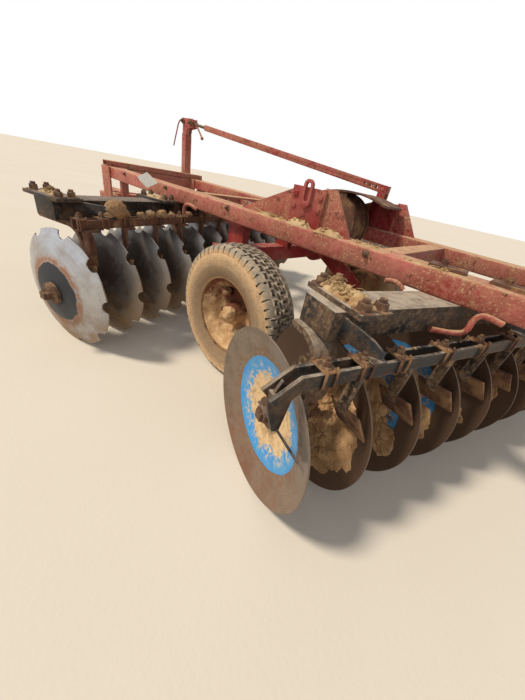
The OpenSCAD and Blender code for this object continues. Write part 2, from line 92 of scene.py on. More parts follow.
# The photo's camera, found from the outlines of the discs, the near wheel and the rails
CAMERA = (-1.8291, -1.0580, 1.0768)
YAW, TILT, ROLL = math.radians(51.79), math.radians(31.75), -0.2054
SENSOR = (27.0, 36.0)
LENS = 14.27


def srgb(code):
    """Linear colour of an sRGB hex value."""
    channels = [int(code[i : i + 2], 16) / 255 for i in (1, 3, 5)]
    return tuple(c / 12.92 if c <= 0.04045 else ((c + 0.055) / 1.055) ** 2.4 for c in channels) + (1.0,)


def colour(name, description, code):
    """A colour property with an sRGB hex value as its default."""
    return bpy.props.FloatVectorProperty(
        name=name, description=description, subtype="COLOR", size=4, min=0, max=1, default=srgb(code)
    )


def length(name, description, metres):
    """A length property."""
    return bpy.props.FloatProperty(
        name=name, description=description, default=metres, min=0, subtype="DISTANCE", unit="LENGTH"
    )


class HarrowColours(bpy.types.PropertyGroup):
    """Paint, steel and earth colours"""

    red: colour("Red paint", "Red enamel where it is still sound", "#8C2426")
    red_faded: colour("Faded red", "Red enamel bleached by the sun", "#B06058")
    black: colour("Black paint", "Black enamel of the gang beams", "#1B1C1F")
    blue: colour("Blue paint", "Enamel left on the rear discs' middles", "#3795DA")
    rust: colour("Rust", "Brown rust on bare steel", "#5B3220")
    dust: colour("Dust", "Dry dust on surfaces that face up", "#BC9F7C")
    clay: colour("Clay", "Dried field clay", "#A8845E")
    floor: colour("Floor", "Plain pale floor", "#D8D2C8")


class HarrowSizes(bpy.types.PropertyGroup):
    """Sizes of the small forms"""

    edge: length("Edge rounding", "Rounding of rolled steel edges", 0.004)
    bolt_flats: length("Bolt flats", "Width across the flats of the frame's bolts", 0.036)
    tread_depth: length("Tread depth", "Depth of the tyres' slots", 0.006)


# Materials


def add(tree, kind, inputs=(), **settings):
    """Adds a node with its settings, and sets or links its inputs."""
    node = tree.nodes.new(kind)
    for key, value in settings.items():
        setattr(node, key, value)
    for key, value in dict(inputs).items():
        if isinstance(value, bpy.types.NodeSocket):
            tree.links.new(value, node.inputs[key])
        else:
            node.inputs[key].default_value = value
    return node


SOCKETS = {"specular": "Specular IOR Level", "metallic": "Metallic"}


def new_material(name, **sockets):
    """A material, its tree and its object coordinates. Plain values stay on the shader's own sockets."""
    material = bpy.data.materials.new(name)
    material.use_nodes = True
    tree = material.node_tree
    for key, value in sockets.items():
        tree.nodes["Principled BSDF"].inputs[SOCKETS[key]].default_value = value
    return material, tree, add(tree, "ShaderNodeTexCoord").outputs["Object"]


def merged(tree, operation, masks):
    """One mask from several, taken in turn into the first."""
    mask = masks[0]
    for other in masks[1:]:
        node = add(tree, "ShaderNodeMath", {0: mask, 1: other}, operation=operation, use_clamp=True)
        mask = node.outputs[0]
    return mask


def all_of(tree, *masks):
    """Mask of where all masks hold, as their product. A plain number among them is a share."""
    return merged(tree, "MULTIPLY", masks)


def any_of(tree, *masks):
    """Mask of where at least one mask holds."""
    return merged(tree, "MAXIMUM", masks)


def within(tree, value, *spans):
    """Mask of a value's spans: each grows from 0 at its first end to 1 at its second."""
    grown = [add(tree, "ShaderNodeMapRange", {0: value, 1: low, 2: high}).outputs[0] for low, high in spans]
    return all_of(tree, *grown)


def laid_on(tree, base, value, share):
    """A share of a value laid on a base, or cut from it where the share is below 0."""
    inputs = {0: value, 1: share, 2: base}
    return add(tree, "ShaderNodeMath", inputs, operation="MULTIPLY_ADD", use_clamp=True).outputs[0]


def speckle(tree, place, size, low, high, detail=6.0, rough=0.6):
    """Mask of patches about size metres across: 0 below low, 1 above high."""
    inputs = {"Vector": place, "Scale": 0.6 / size, "Detail": detail, "Roughness": rough}
    return within(tree, add(tree, "ShaderNodeTexNoise", inputs).outputs[0], (low, high))


def normal_along(tree, axis):
    """How far faces look along an axis."""
    normal = add(tree, "ShaderNodeNewGeometry").outputs["Normal"]
    return add(tree, "ShaderNodeSeparateXYZ", {0: normal}).outputs[axis]


def facing_up(tree, low):
    """Mask of faces that look up, from that much on."""
    return within(tree, normal_along(tree, "Z"), (low, 0.95))


def worn_edges(tree, radius):
    """Mask of edges, from the difference between the face's normal and a rounded one."""
    normal = add(tree, "ShaderNodeNewGeometry").outputs["Normal"]
    rounded = add(tree, "ShaderNodeBevel", {"Radius": radius}, samples=3).outputs[0]
    same = add(tree, "ShaderNodeVectorMath", {0: normal, 1: rounded}, operation="DOT_PRODUCT")
    return within(tree, same.outputs["Value"], (0.985, 0.86))


def round_axle(tree, place, axle):
    """Position along an axle, height over it and distance from it."""
    home = axle.inverted()
    inputs = {"Vector": place, "Location": home.translation, "Rotation": home.to_euler()}
    local = add(tree, "ShaderNodeMapping", inputs).outputs[0]
    across = add(tree, "ShaderNodeVectorMath", {0: local, 1: (0, 1, 1)}, operation="MULTIPLY").outputs[0]
    radius = add(tree, "ShaderNodeVectorMath", {0: across}, operation="LENGTH").outputs["Value"]
    axes = add(tree, "ShaderNodeSeparateXYZ", {0: local})
    return axes.outputs[0], axes.outputs[2], radius


def linear(value):
    """Linear colour of a hex value or of a colour property."""
    return srgb(value) if isinstance(value, str) else tuple(value)


def finish_material(material, first, layers, height, depth, metal=None):
    """Lays (colour, roughness, masks) over the first (colour, roughness).

    A tuple among the masks holds what speckle needs. The bump is depth metres deep, and metal is a map of
    bare metal.
    """
    tree = material.node_tree
    inputs = tree.nodes["Principled BSDF"].inputs
    place = tree.nodes["Texture Coordinate"].outputs["Object"]
    tint, rough = linear(first[0]), first[1]
    for over, over_rough, *masks in layers:
        mask = all_of(tree, *(speckle(tree, place, *m) if isinstance(m, tuple) else m for m in masks))
        tint = add(tree, "ShaderNodeMix", {0: mask, 6: tint, 7: linear(over)}, data_type="RGBA").outputs[2]
        rough = add(tree, "ShaderNodeMix", {0: mask, 2: rough, 3: over_rough}).outputs[0]
    bump = add(tree, "ShaderNodeBump", {"Strength": 0.8, "Distance": depth, "Height": height}).outputs[0]
    tree.links.new(tint, inputs["Base Color"])
    tree.links.new(rough, inputs["Roughness"])
    tree.links.new(bump, inputs["Normal"])
    if metal:
        tree.links.new(metal, inputs["Metallic"])


def sun_faded_red_enamel(colours, name, dusty=0.5, fresh=0.0):
    """Brushed alkyd enamel on rolled steel: chalky pink patches, chips to rust at the edges, dust on top."""
    material, tree, place = new_material(name, specular=0.35)
    fade = speckle(tree, place, 0.20, 0.38 + fresh, 0.60 + fresh, 4)
    blush = speckle(tree, place, 0.016, 0.44 + fresh, 0.60 + fresh, 8, 0.72)
    chips = speckle(tree, place, 0.026, 0.575, 0.605, 9, 0.75)
    film = speckle(tree, place, 0.13, 0.40 + fresh, 0.64 + fresh, 8, 0.72)
    grit = speckle(tree, place, 0.005, 0.56 + fresh * 0.3, 0.63 + fresh * 0.3, 4)
    strewn = speckle(tree, place, 0.035, 0.60 - dusty * 0.4, 0.74 - dusty * 0.3, 9, 0.7)
    top = all_of(tree, facing_up(tree, 0.45), strewn)
    layers = [
        (colours.red_faded, 0.6, fade),
        ("#BF7A6A", 0.65, blush, 0.6),
        ("#94684D", 0.85, film, 0.72),
        (colours.rust, 0.8, chips, 0.85),
        ("#8A5A44", 0.75, worn_edges(tree, 0.007), (0.02, 0.42, 0.56, 6)),
        (colours.dust, 0.95, top, 0.85),
        ("#D0B48E", 0.95, grit, film, 0.9),
    ]
    pits = laid_on(tree, all_of(tree, chips, 0.5), top, -0.6)
    height = laid_on(tree, speckle(tree, place, 0.003, 0.3, 0.7, 4), pits, -1.0)
    finish_material(material, (colours.red, 0.42), layers, height, 0.0008)


def worn_black_enamel(colours, name, dusty=0.5, muddy=0.0, dust="#A89B8C"):
    """Black enamel on the gang steel: dull, scratched grey, brown at chips, with dust on top."""
    material, tree, place = new_material(name, specular=0.3)
    chips = speckle(tree, place, 0.025, 0.61, 0.66, 9, 0.72)
    mud = speckle(tree, place, 0.09, 0.50 - muddy, 0.62 - muddy, 8, 0.7)
    spatter = speckle(tree, place, 0.012, 0.56 - muddy, 0.66 - muddy, 8, 0.75)
    strewn = speckle(tree, place, 0.03, 0.62 - dusty * 0.4, 0.80 - dusty * 0.3, 9, 0.7)
    layers = [
        ("#3A3836", 0.55, (0.05, 0.42, 0.75, 8, 0.7)),
        ("#6B5440", 0.9, mud, 0.8),
        ("#8F7760", 0.95, spatter, min(1.0, 0.25 + 6 * muddy)),
        (colours.rust, 0.8, chips),
        ("#6E625A", 0.5, worn_edges(tree, 0.006), (0.015, 0.38, 0.55, 6)),
        (dust, 0.95, facing_up(tree, 0.5), strewn),
    ]
    height = laid_on(tree, speckle(tree, place, 0.003, 0.3, 0.7, 4), chips, -0.5)
    finish_material(material, (colours.black, 0.38), layers, height, 0.0008)


def earth_crusted_steel(colours, name, earthy=0.5):
    """Bare spring steel, brown rust all over, with a crust of dried earth in patches."""
    material, tree, place = new_material(name)
    crust = speckle(tree, place, 0.06, 0.62 - earthy * 0.25, 0.70 - earthy * 0.2, 9, 0.72)
    layers = [
        ("#724A34", 0.85, (0.04, 0.35, 0.65, 8, 0.7)),
        ("#2B211C", 0.6, (0.012, 0.50, 0.70, 7, 0.7)),
        ("#8C6A4A", 0.97, crust),
    ]
    height = laid_on(tree, speckle(tree, place, 0.004, 0.3, 0.7, 5), crust, 0.6)
    finish_material(material, ("#4A2F22", 0.8), layers, height, 0.0015)


def soil_polished_steel(colours, name):
    """Boron steel scoured bright by the soil, dark scale at the middle inside a ring of rust. The discs past
    the end one are a darker grey, as painted shade.
    """
    material, tree, place = new_material(name)
    along, up, radius = round_axle(tree, place, FRONT @ at(0, 0, AXLE_Z))
    wobble = add(tree, "ShaderNodeTexNoise", {"Vector": place, "Scale": 18.0, "Detail": 6.0}).outputs[0]
    shift = add(tree, "ShaderNodeMapRange", {0: wobble, 3: -0.018, 4: 0.018}).outputs[0]
    uneven = laid_on(tree, radius, shift, 1.0)
    end, others = within(tree, along, (0.09, 0.06)), within(tree, along, (0.06, 0.09))
    rusted = speckle(tree, place, 0.02, 0.30, 0.52, 8, 0.7)
    ring = all_of(tree, within(tree, uneven, (0.155, 0.170), (0.210, 0.185)), rusted, end)
    scaled = speckle(tree, place, 0.09, 0.34, 0.50, 7, 0.7)
    middle = all_of(tree, others, within(tree, uneven, (0.300, 0.245)), scaled)
    low = all_of(tree, within(tree, up, (0.06, -0.20)), speckle(tree, place, 0.06, 0.28, 0.56, 7, 0.7))
    spread = add(tree, "ShaderNodeCombineXYZ", {0: radius, 1: along, 2: all_of(tree, up, 0.15)}).outputs[0]
    scour = add(tree, "ShaderNodeTexNoise", {"Vector": spread, "Scale": 90.0, "Detail": 8.0}).outputs[0]
    layers = [
        ("#9C9A9A", 0.34, within(tree, scour, (0.42, 0.75)), 0.4),
        ("#8F8072", 0.5, (0.09, 0.42, 0.66, 8, 0.75), 0.65),
        # painted shade: the discs past the end one are a darker grey, for the shade they stand in behind it
        ("#6B6764", 0.33, others, 0.75),
        ("#40352D", 0.6, middle),
        ("#B09E8A", 0.6, others, within(tree, uneven, (0.235, 0.310)), within(tree, up, (0.30, 0.02)), 0.8),
        ("#94795A", 0.9, low, 0.9),
        ("#44464A", 0.62, within(tree, uneven, (0.166, 0.160)), end),
        ("#916B52", 0.95, ring),
    ]
    covered = any_of(tree, low, ring, all_of(tree, middle, 0.7))
    metal = laid_on(tree, 0.9, covered, -1.0)
    finish_material(material, ("#BCBEC3", 0.26), layers, laid_on(tree, scour, ring, 1.0), 0.0004, metal)


def browned_steel_blue_middle(colours, name):
    """Boron steel browned by damp soil, brushed round by it, with blue enamel left at the middle. The discs
    past the end one are a darker brown, as painted shade.
    """
    material, tree, place = new_material(name, metallic=0.3)
    along, up, radius = round_axle(tree, place, REAR @ at(0, 0, AXLE_Z))
    inputs = {"Vector": place, "Scale": 11.0, "Detail": 9.0, "Roughness": 0.72}
    coarse = add(tree, "ShaderNodeTexNoise", inputs).outputs[0]
    shift = add(tree, "ShaderNodeMapRange", {0: coarse, 1: 0.3, 2: 0.7, 3: -0.04, 4: 0.04}).outputs[0]
    uneven = laid_on(tree, radius, shift, 1.0)
    outline = within(tree, laid_on(tree, radius, shift, 0.08), (0.221, 0.218))
    second = within(tree, along, (0.36, 0.42), (0.92, 0.86))
    left = speckle(tree, place, 0.10, 0.62, 0.56, 5)
    second = all_of(tree, second, within(tree, up, (-0.04, -0.02)), left)
    paint = all_of(tree, outline, any_of(tree, second, within(tree, along, (0.14, 0.10))))
    caked = speckle(tree, place, 0.02, 0.26, 0.36, 8, 0.7)
    worn = all_of(tree, within(tree, uneven, (0.160, 0.146)), caked)
    flakes = speckle(tree, place, 0.012, 0.50, 0.58, 7, 0.7)
    spots = speckle(tree, place, 0.012, 0.42, 0.58, 7)
    rings = add(tree, "ShaderNodeCombineXYZ", {0: radius, 1: all_of(tree, along, 0.2)}).outputs[0]
    brushed = add(tree, "ShaderNodeTexNoise", {"Vector": rings, "Scale": 230.0, "Detail": 8.0}).outputs[0]
    rusty = all_of(tree, within(tree, up, (0.02, -0.26)), speckle(tree, place, 0.07, 0.36, 0.62, 8, 0.72))
    layers = [
        ("#978879", 0.34, within(tree, brushed, (0.38, 0.72)), 0.5),
        ("#5F5146", 0.50, (0.05, 0.45, 0.66, 8, 0.7), 0.7),
        ("#7C4F36", 0.75, rusty, 0.7),
        ("#83654F", 0.85, within(tree, uneven, (0.195, 0.225), (0.275, 0.230)), spots),
        # painted shade: the discs past the end one are a darker brown, for the machine's shade over them
        ("#5C4535", 0.62, within(tree, along, (0.10, 0.14)), 0.85),
        (colours.blue, 0.45, paint),
        ("#6FA9C4", 0.6, paint, (0.04, 0.46, 0.66, 7, 0.7), 0.6),
        ("#D8BE98", 0.95, within(tree, radius, (0.212, 0.165)), flakes),
        ("#D8BD94", 0.95, worn),
        ("#A27F59", 0.97, worn, (0.018, 0.48, 0.62, 8, 0.75), 0.75),
    ]
    height = laid_on(tree, laid_on(tree, all_of(tree, paint, 0.5), brushed, 0.4), worn, 0.5)
    finish_material(material, ("#7B6C5E", 0.40), layers, height, 0.0006)


def weathered_tyre_rubber(colours, name, shade=0.0):
    """Grey, sun-checked rubber with field dust rubbed into it, tan on the shoulder and down the sidewall. The
    shade share lays a dark brown over it all as painted shade, for the slots' walls and floors.
    """
    material, tree, place = new_material(name, specular=0.25)
    dust = speckle(tree, place, 0.02, 0.38, 0.62, 8, 0.72)
    radius = round_axle(tree, place, MACHINE @ at(0, 0, TYRE_R))[2]
    sideways = normal_along(tree, "X")
    flank = within(tree, all_of(tree, sideways, sideways), (0.15, 0.6))
    side = all_of(tree, flank, within(tree, radius, (0.358, 0.338)))
    shoulder = within(tree, radius, (0.285, 0.335))
    layers = [
        ("#9C9184", 0.9, (0.05, 0.35, 0.65, 7, 0.7)),
        ("#BCA98E", 0.95, dust, 0.6),
        ("#A18A70", 0.95, side),
        ("#B89A78", 0.95, side, dust),
        ("#D4B28A", 0.97, side, shoulder, (0.04, 0.28, 0.52, 8, 0.72)),
        ("#7C6853", 0.95, side, within(tree, radius, (0.305, 0.245)), 0.65),
        ("#7A6855", 0.95, side, (0.006, 0.52, 0.62, 5), 0.45),
        # painted shade: dark brown over the whole surface by the shade share, standing for the shade inside
        # the slots
        ("#4A4138", 0.95, within(tree, radius, (0.1, 0.2)), shade),
    ]
    finish_material(material, ("#867C71", 0.85), layers, dust, 0.0008)


def dried_clay(colours, name, pale="#C4A078", deep="#8A6847", cracked=0.0, rusty_above=9.0):
    """Field clay dried hard: matt and crumbly, split by shrinkage cracks where it lies thick. Above a given
    height it turns dark red-brown, partly rust and partly painted shade.
    """
    material, tree, place = new_material(name, specular=0.1)
    warp = add(tree, "ShaderNodeTexNoise", {"Vector": place, "Scale": 14.0, "Detail": 5.0}).outputs["Color"]
    inputs = {0: warp, 1: (0.05, 0.05, 0.05), 2: place}
    bent = add(tree, "ShaderNodeVectorMath", inputs, operation="MULTIPLY_ADD").outputs[0]
    inputs = {"Vector": bent, "Scale": 19.0, "Randomness": 1.0}
    cracks = add(tree, "ShaderNodeTexVoronoi", inputs, feature="DISTANCE_TO_EDGE").outputs["Distance"]
    thick = speckle(tree, place, 0.09, 0.42, 0.50, 3)
    split = all_of(tree, within(tree, cracks, (0.035, 0.0)), thick, cracked)
    crumbs = speckle(tree, place, 0.006, 0.30, 0.70, 6, 0.7)
    height = add(tree, "ShaderNodeSeparateXYZ", {0: place}).outputs[2]
    above = within(tree, height, (rusty_above - 0.03, rusty_above + 0.04))
    layers = [
        (pale, 0.97, (0.05, 0.35, 0.65, 7)),
        (deep, 0.97, crumbs, 0.4),
        (deep, 0.97, (0.08, 0.50, 0.66, 8, 0.7), 0.6),
        # dark red-brown above the given height: partly rust, partly painted shade
        ("#6E4434", 0.85, above, (0.06, 0.36, 0.50, 8, 0.7)),
        ("#3E2D20", 1.0, split, 0.85),
    ]
    finish_material(material, (colours.clay, 0.97), layers, laid_on(tree, crumbs, split, -0.8), 0.003)


def rusty_forged_steel(colours, name):
    """Forged nuts and washers: even brown rust, rubbed darker where tools and soil touch."""
    material, tree, place = new_material(name)
    tone = speckle(tree, place, 0.010, 0.35, 0.65, 7, 0.7)
    layers = [
        ("#38281F", 0.6, tone),
        ("#A08260", 0.95, (0.02, 0.50, 0.62, 8, 0.7), 0.8),
    ]
    finish_material(material, ("#6A4934", 0.7), layers, tone, 0.0006)


def hard_chromed_steel(colours, name):
    """Ground and chromed rod: bright, with a film of dust."""
    material, tree, place = new_material(name, metallic=1.0)
    film = speckle(tree, place, 0.04, 0.4, 0.7, 6)
    finish_material(material, ("#C9C9C6", 0.16), [("#8D8375", 0.5, film, 0.6)], film, 0.0001)


def bare_white_card(colours, name):
    """A blank plastic-coated card: smooth, a little grubby."""
    material, tree, place = new_material(name)
    grub = speckle(tree, place, 0.02, 0.45, 0.8, 5)
    finish_material(material, ("#F0EEE8", 0.4), [("#CFC5B2", 0.7, grub, 0.4)], grub, 0.0001)


def dry_straw(colours, name):
    """Split cereal straw: pale yellow, silky along its length."""
    material, tree, place = new_material(name)
    tone = speckle(tree, place, 0.03, 0.3, 0.7, 4)
    finish_material(material, ("#C9B182", 0.6), [("#9A7F52", 0.7, tone)], tone, 0.0002)


def pale_floor(colours, name):
    """Plain matt floor."""
    material, tree, place = new_material(name, specular=0.1)
    layers = [("#D0C9BD", 0.95, (0.8, 0.3, 0.7, 4), 0.5)]
    finish_material(material, (colours.floor, 0.9), layers, speckle(tree, place, 0.01, 0.3, 0.7, 4), 0.0005)


def get_material(maker, name=None, **settings):
    """A material made once under its name and then shared."""
    name = name or maker.__name__
    if name not in bpy.data.materials:
        maker(bpy.context.scene.harrow_colours, name, **settings)
    return bpy.data.materials[name]


# Meshes


def piece(name, bm, body, material, replaces=(), sharp=35, normals=True):
    """Turns a bmesh into a finished piece that rides on a body."""
    if normals:
        bmesh.ops.recalc_face_normals(bm, faces=bm.faces)
    mesh = bpy.data.meshes.new(name)
    bm.to_mesh(mesh)
    bm.free()
    mesh.shade_smooth()
    mesh.set_sharp_from_angle(angle=math.radians(sharp))
    mesh.materials.append(material)
    obj = bpy.data.objects.new(name, mesh)
    bpy.context.scene.collection.objects.link(obj)
    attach(obj, body)
    if replaces:
        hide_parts(*replaces)
    return obj


def body_of(node):
    """The body that a CAD node rides on."""
    return next(b for b, members in frame["record"]["behaviour"]["bodies"].items() if node in members)


def coat(node, material):
    """Gives a CAD node its material."""
    frame["nodes"][node].data.materials[0] = material


def repaint(obj, material, passes):
    """Gives another material to the faces whose middles pass a test."""
    obj.data.materials.append(material)
    last = len(obj.data.materials) - 1
    for face in obj.data.polygons:
        if passes(face.center):
            face.material_index = last


def round_edges(bm, edges, width, segments=2, clamp=False):
    """Bevels edges."""
    bmesh.ops.bevel(
        bm, geom=edges, offset=width, segments=segments, profile=0.5, affect="EDGES", material=-1,
        clamp_overlap=clamp,
    )


def rounded_copy(node, material, width):
    """A CAD node's shape with merged faces and rounded edges, which stands for the node."""
    bm = bmesh.new()
    bm.from_mesh(frame["nodes"][node].data)
    bmesh.ops.remove_doubles(bm, verts=bm.verts, dist=0.00005)
    bmesh.ops.dissolve_limit(bm, angle_limit=math.radians(1.0), verts=bm.verts, edges=bm.edges)
    sharp = [e for e in bm.edges if len(e.link_faces) == 2 and e.calc_face_angle(0) > math.radians(50)]
    round_edges(bm, sharp, width, clamp=True)
    return piece(node + "_rounded", bm, body_of(node), material, (node,), normals=False)


def prism(bm, place, radius, height, sides):
    """Vertices of a new prism standing on place's XY plane."""
    return bmesh.ops.create_cone(
        bm, cap_ends=True, segments=sides, radius1=radius, radius2=radius, depth=height,
        matrix=place @ at(0, 0, height / 2),
    )["verts"]


def hexagon(bm, place, flats, height, chamfer):
    """A hexagon nut standing on place's XY plane, its top edges chamfered."""
    made = prism(bm, place, flats / math.sqrt(3), height, 6)
    top = place @ Vector((0, 0, height))
    axis = (place.to_3x3() @ Vector((0, 0, 1))).normalized()
    crown = set(v for v in made if abs((v.co - top).dot(axis)) < 1e-5)
    round_edges(bm, [e for e in bm.edges if e.verts[0] in crown and e.verts[1] in crown], chamfer, 1)


def disc(bm, place, radius, height, sides, chamfer):
    """A washer or a bolt's end standing on place's XY plane, both its rims rounded."""
    made = prism(bm, place, radius, height, sides)
    caps = [f for f in set(f for v in made for f in v.link_faces) if len(f.verts) == sides]
    round_edges(bm, list(set(e for f in caps for e in f.edges)), chamfer)


def bolt(bm, place, flats, stub):
    """A nut on a washer, with stub metres of the bolt's end standing out of it."""
    washer = flats * 0.1
    disc(bm, place, flats * 0.95, washer, 24, 0.0006)
    hexagon(bm, place @ at(0, 0, washer), flats, flats * 0.62, flats * 0.05)
    disc(bm, place @ at(0, 0, washer + flats * 0.6), flats * 0.33, stub, 14, 0.0012)


def block(bm, low, high, place, width):
    """A box from corner to corner with rounded edges."""
    low, high = Vector(low), Vector(high)
    box = place @ at(*(low + high) / 2) @ Matrix.Diagonal((*(high - low), 1))
    made = bmesh.ops.create_cube(bm, size=1.0, matrix=box)
    round_edges(bm, list(set(e for v in made["verts"] for e in v.link_edges)), width)


def rod(bm, points, radius, sides):
    """A round bar swept along points, with closed ends."""
    points = [Vector(p) for p in points]
    normal = ring = None
    for i, point in enumerate(points):
        ahead = (points[min(i + 1, len(points) - 1)] - points[max(i - 1, 0)]).normalized()
        if normal is None:
            normal = ahead.orthogonal().normalized()
        normal = (normal - ahead * normal.dot(ahead)).normalized()
        section = Matrix((normal, ahead.cross(normal), ahead)).transposed().to_4x4()
        section.translation = point
        if ring is None:
            ring = start = bmesh.ops.create_circle(bm, segments=sides, radius=radius, matrix=section)["verts"]
            edges = list(set(e for v in ring for e in v.link_edges))
        else:
            made = bmesh.ops.extrude_edge_only(bm, edges=edges)["geom"]
            ring = [g for g in made if isinstance(g, bmesh.types.BMVert)]
            edges = [g for g in made if isinstance(g, bmesh.types.BMEdge) and set(g.verts) <= set(ring)]
            bmesh.ops.transform(bm, matrix=section @ home.inverted(), verts=ring)
        home = section
    for verts in (start, ring):
        bmesh.ops.contextual_create(bm, geom=list(verts))


def spin(bm, profile, steps, closed=False):
    """Spins an (along, radius) profile a full turn about the X axis."""
    verts = [bm.verts.new((along, 0, radius)) for along, radius in profile]
    ends = verts[1:] + verts[:1] if closed else verts[1:]
    edges = [bm.edges.new(pair) for pair in zip(verts, ends)]
    bmesh.ops.spin(
        bm, geom=verts + edges, cent=(0, 0, 0), axis=(1, 0, 0), angle=math.tau, steps=steps,
        use_merge=True, use_normal_flip=False, use_duplicate=False,
    )


def skin(bm, rows, ring=True, flip=False):
    """Faces between neighbouring rows of vertices, which are closed rings or not."""
    for row, after in zip(rows, rows[1:]):
        if ring:
            row, after = row + row[:1], after + after[:1]
        for quad in zip(row, after, after[1:], row[1:]):
            bm.faces.new(quad[::-1] if flip else quad)


def lump(bm, place, radius, seed, detail, rough, flatten=1.0):
    """A clod: a ball pushed in and out by noise."""
    made = bmesh.ops.create_icosphere(bm, subdivisions=detail, radius=radius)
    offset = Vector((seed * 7.3, seed * 3.1, seed * 1.7))
    for v in made["verts"]:
        unit = v.co.normalized()
        push = noise.fractal(unit * 1.6 + offset, 0.8, 2.2, 5)
        push += 0.35 * noise.fractal(unit * 9 + offset, 0.9, 2.1, 3)
        v.co = v.co * (1 + rough * push)
        v.co.z *= flatten
    bmesh.ops.transform(bm, matrix=place, verts=made["verts"])


def heap(bm, place, long, wide, high, seed):
    """A low heap of crumbs and chaff on place's XY plane, highest in the middle."""
    cell, sunk = 0.004, -0.002
    across, along = max(8, int(wide / cell)), max(8, int(long / cell))
    offset = Vector((seed * 4.1, seed * 1.3, seed * 2.7))
    top = []
    for i in range(along + 1):
        row = []
        for j in range(across + 1):
            u, v = 2 * i / along - 1, 2 * j / across - 1
            spot = Vector((u * long / 2, v * wide / 2, 0))
            wave = noise.fractal(spot * 22 + offset, 0.8, 2.1, 4)
            fine = noise.fractal(spot * 130 + offset, 0.6, 2.1, 3)
            fall = max(0.0, 1 - u**4) * max(0.0, 1 - v * v) ** 0.6
            rise = high * (fall * (0.65 + 0.9 * wave) + 0.18 * fall * fine) + sunk
            row.append(bm.verts.new(place @ (spot + Vector((0, 0, max(rise, sunk))))))
        top.append(row)
    down = place.to_3x3() @ Vector((0, 0, 0.001))
    base = [[bm.verts.new(v.co - down) for v in row] for row in top]
    skin(bm, top, ring=False)
    skin(bm, base, ring=False, flip=True)
    rim = [(i, 0) for i in range(along)] + [(along, j) for j in range(across)]
    rim += [(i, across) for i in range(along, 0, -1)] + [(0, j) for j in range(across, 0, -1)]
    skin(bm, [[rows[i][j] for i, j in rim] for rows in (top, base)])


def crumbs(bm, place, long, wide, count, size, draw):
    """Loose crumbs scattered on place's XY plane."""
    for _ in range(count):
        spot = Vector((draw.gauss(0, long / 4), draw.gauss(0, wide / 4), size * 0.2))
        if abs(spot.x) < long / 2 and abs(spot.y) < wide / 2:
            radius = size * draw.uniform(0.4, 1.2)
            lump(bm, place @ at(*spot), radius, draw.random() * 50, 2, 0.5, 0.7)


def straws(bm, place, long, wide, count, draw):
    """Bits of straw lying crosswise on place's XY plane."""
    for _ in range(count):
        spot = Vector((draw.gauss(0, long / 4), draw.gauss(0, wide / 4), draw.uniform(0.002, 0.010)))
        angle = draw.uniform(0, math.pi)
        half = draw.uniform(0.008, 0.026)
        way = Vector((math.cos(angle), math.sin(angle), draw.uniform(-0.25, 0.25))) * half
        bend = Vector((0, 0, draw.uniform(0.0, 0.004)))
        rod(bm, [place @ (spot - way), place @ (spot + bend), place @ (spot + way)], 0.0011, 5)


# Operators


class HARROW_OT_stage(bpy.types.Operator):
    """Sets the camera, floor, lamps and background"""

    bl_idname = "harrow.stage"
    bl_label = "Stage"

    def execute(self, context):
        scene = context.scene
        scene.view_settings.view_transform = "Standard"
        scene.camera = self.camera(scene)
        self.floor(scene)
        for name, toward, strength, spread, tone in (
            ("key", (-0.444, 0.404, 0.800), 3.2, 0.16, "#FFF2DE"),
            ("fill", (-0.55, -0.65, 0.50), 0.45, 1.4, "#EEF3FF"),
        ):
            light = bpy.data.lights.new(name, "SUN")
            light.energy = strength
            light.angle = spread
            light.color = srgb(tone)[:3]
            lamp = bpy.data.objects.new(name, light)
            lamp.rotation_euler = Vector(toward).to_track_quat("Z", "Y").to_euler()
            scene.collection.objects.link(lamp)
        self.background(scene)
        return {"FINISHED"}

    def camera(self, scene):
        """The photo's camera"""
        level = Vector((math.sin(YAW), math.cos(YAW), 0))
        right = Vector((math.cos(YAW), -math.sin(YAW), 0))
        ahead = level * math.cos(TILT) - Vector((0, 0, math.sin(TILT)))
        down = ahead.cross(right)
        rolled_right = math.cos(ROLL) * right + math.sin(ROLL) * down
        rolled_down = -math.sin(ROLL) * right + math.cos(ROLL) * down
        turn = Matrix((rolled_right, -rolled_down, -ahead)).transposed().to_4x4()
        data = bpy.data.cameras.new("photo_view")
        data.sensor_fit = "VERTICAL"
        data.sensor_width, data.sensor_height = SENSOR
        data.lens = LENS
        data.clip_start = 0.01
        camera = bpy.data.objects.new("photo_view", data)
        camera.matrix_world = MACHINE @ at(*CAMERA) @ turn
        scene.collection.objects.link(camera)
        return camera

    def floor(self, scene):
        """A plain floor, a hair below the tyres"""
        bm = bmesh.new()
        bmesh.ops.create_grid(bm, x_segments=4, y_segments=4, size=40, matrix=at(0, 0, -0.0005))
        mesh = bpy.data.meshes.new("floor")
        bm.to_mesh(mesh)
        bm.free()
        mesh.materials.append(get_material(pale_floor))
        floor = bpy.data.objects.new("floor", mesh)
        scene.collection.objects.link(floor)

    def background(self, scene):
        """White where the camera sees it, softer as a light"""
        scene.world = bpy.data.worlds.new("studio")
        scene.world.use_nodes = True
        tree = scene.world.node_tree
        tree.nodes.clear()
        rays = add(tree, "ShaderNodeLightPath").outputs
        seen = any_of(tree, rays["Is Camera Ray"], rays["Is Glossy Ray"], rays["Is Transmission Ray"])
        soft = add(tree, "ShaderNodeBackground", {"Color": srgb("#F4F2EE"), "Strength": 0.42})
        white = add(tree, "ShaderNodeBackground", {"Color": (1, 1, 1, 1), "Strength": 1.0})
        mixed = add(tree, "ShaderNodeMixShader", {0: seen, 1: soft.outputs[0], 2: white.outputs[0]})
        add(tree, "ShaderNodeOutputWorld", {"Surface": mixed.outputs[0]})


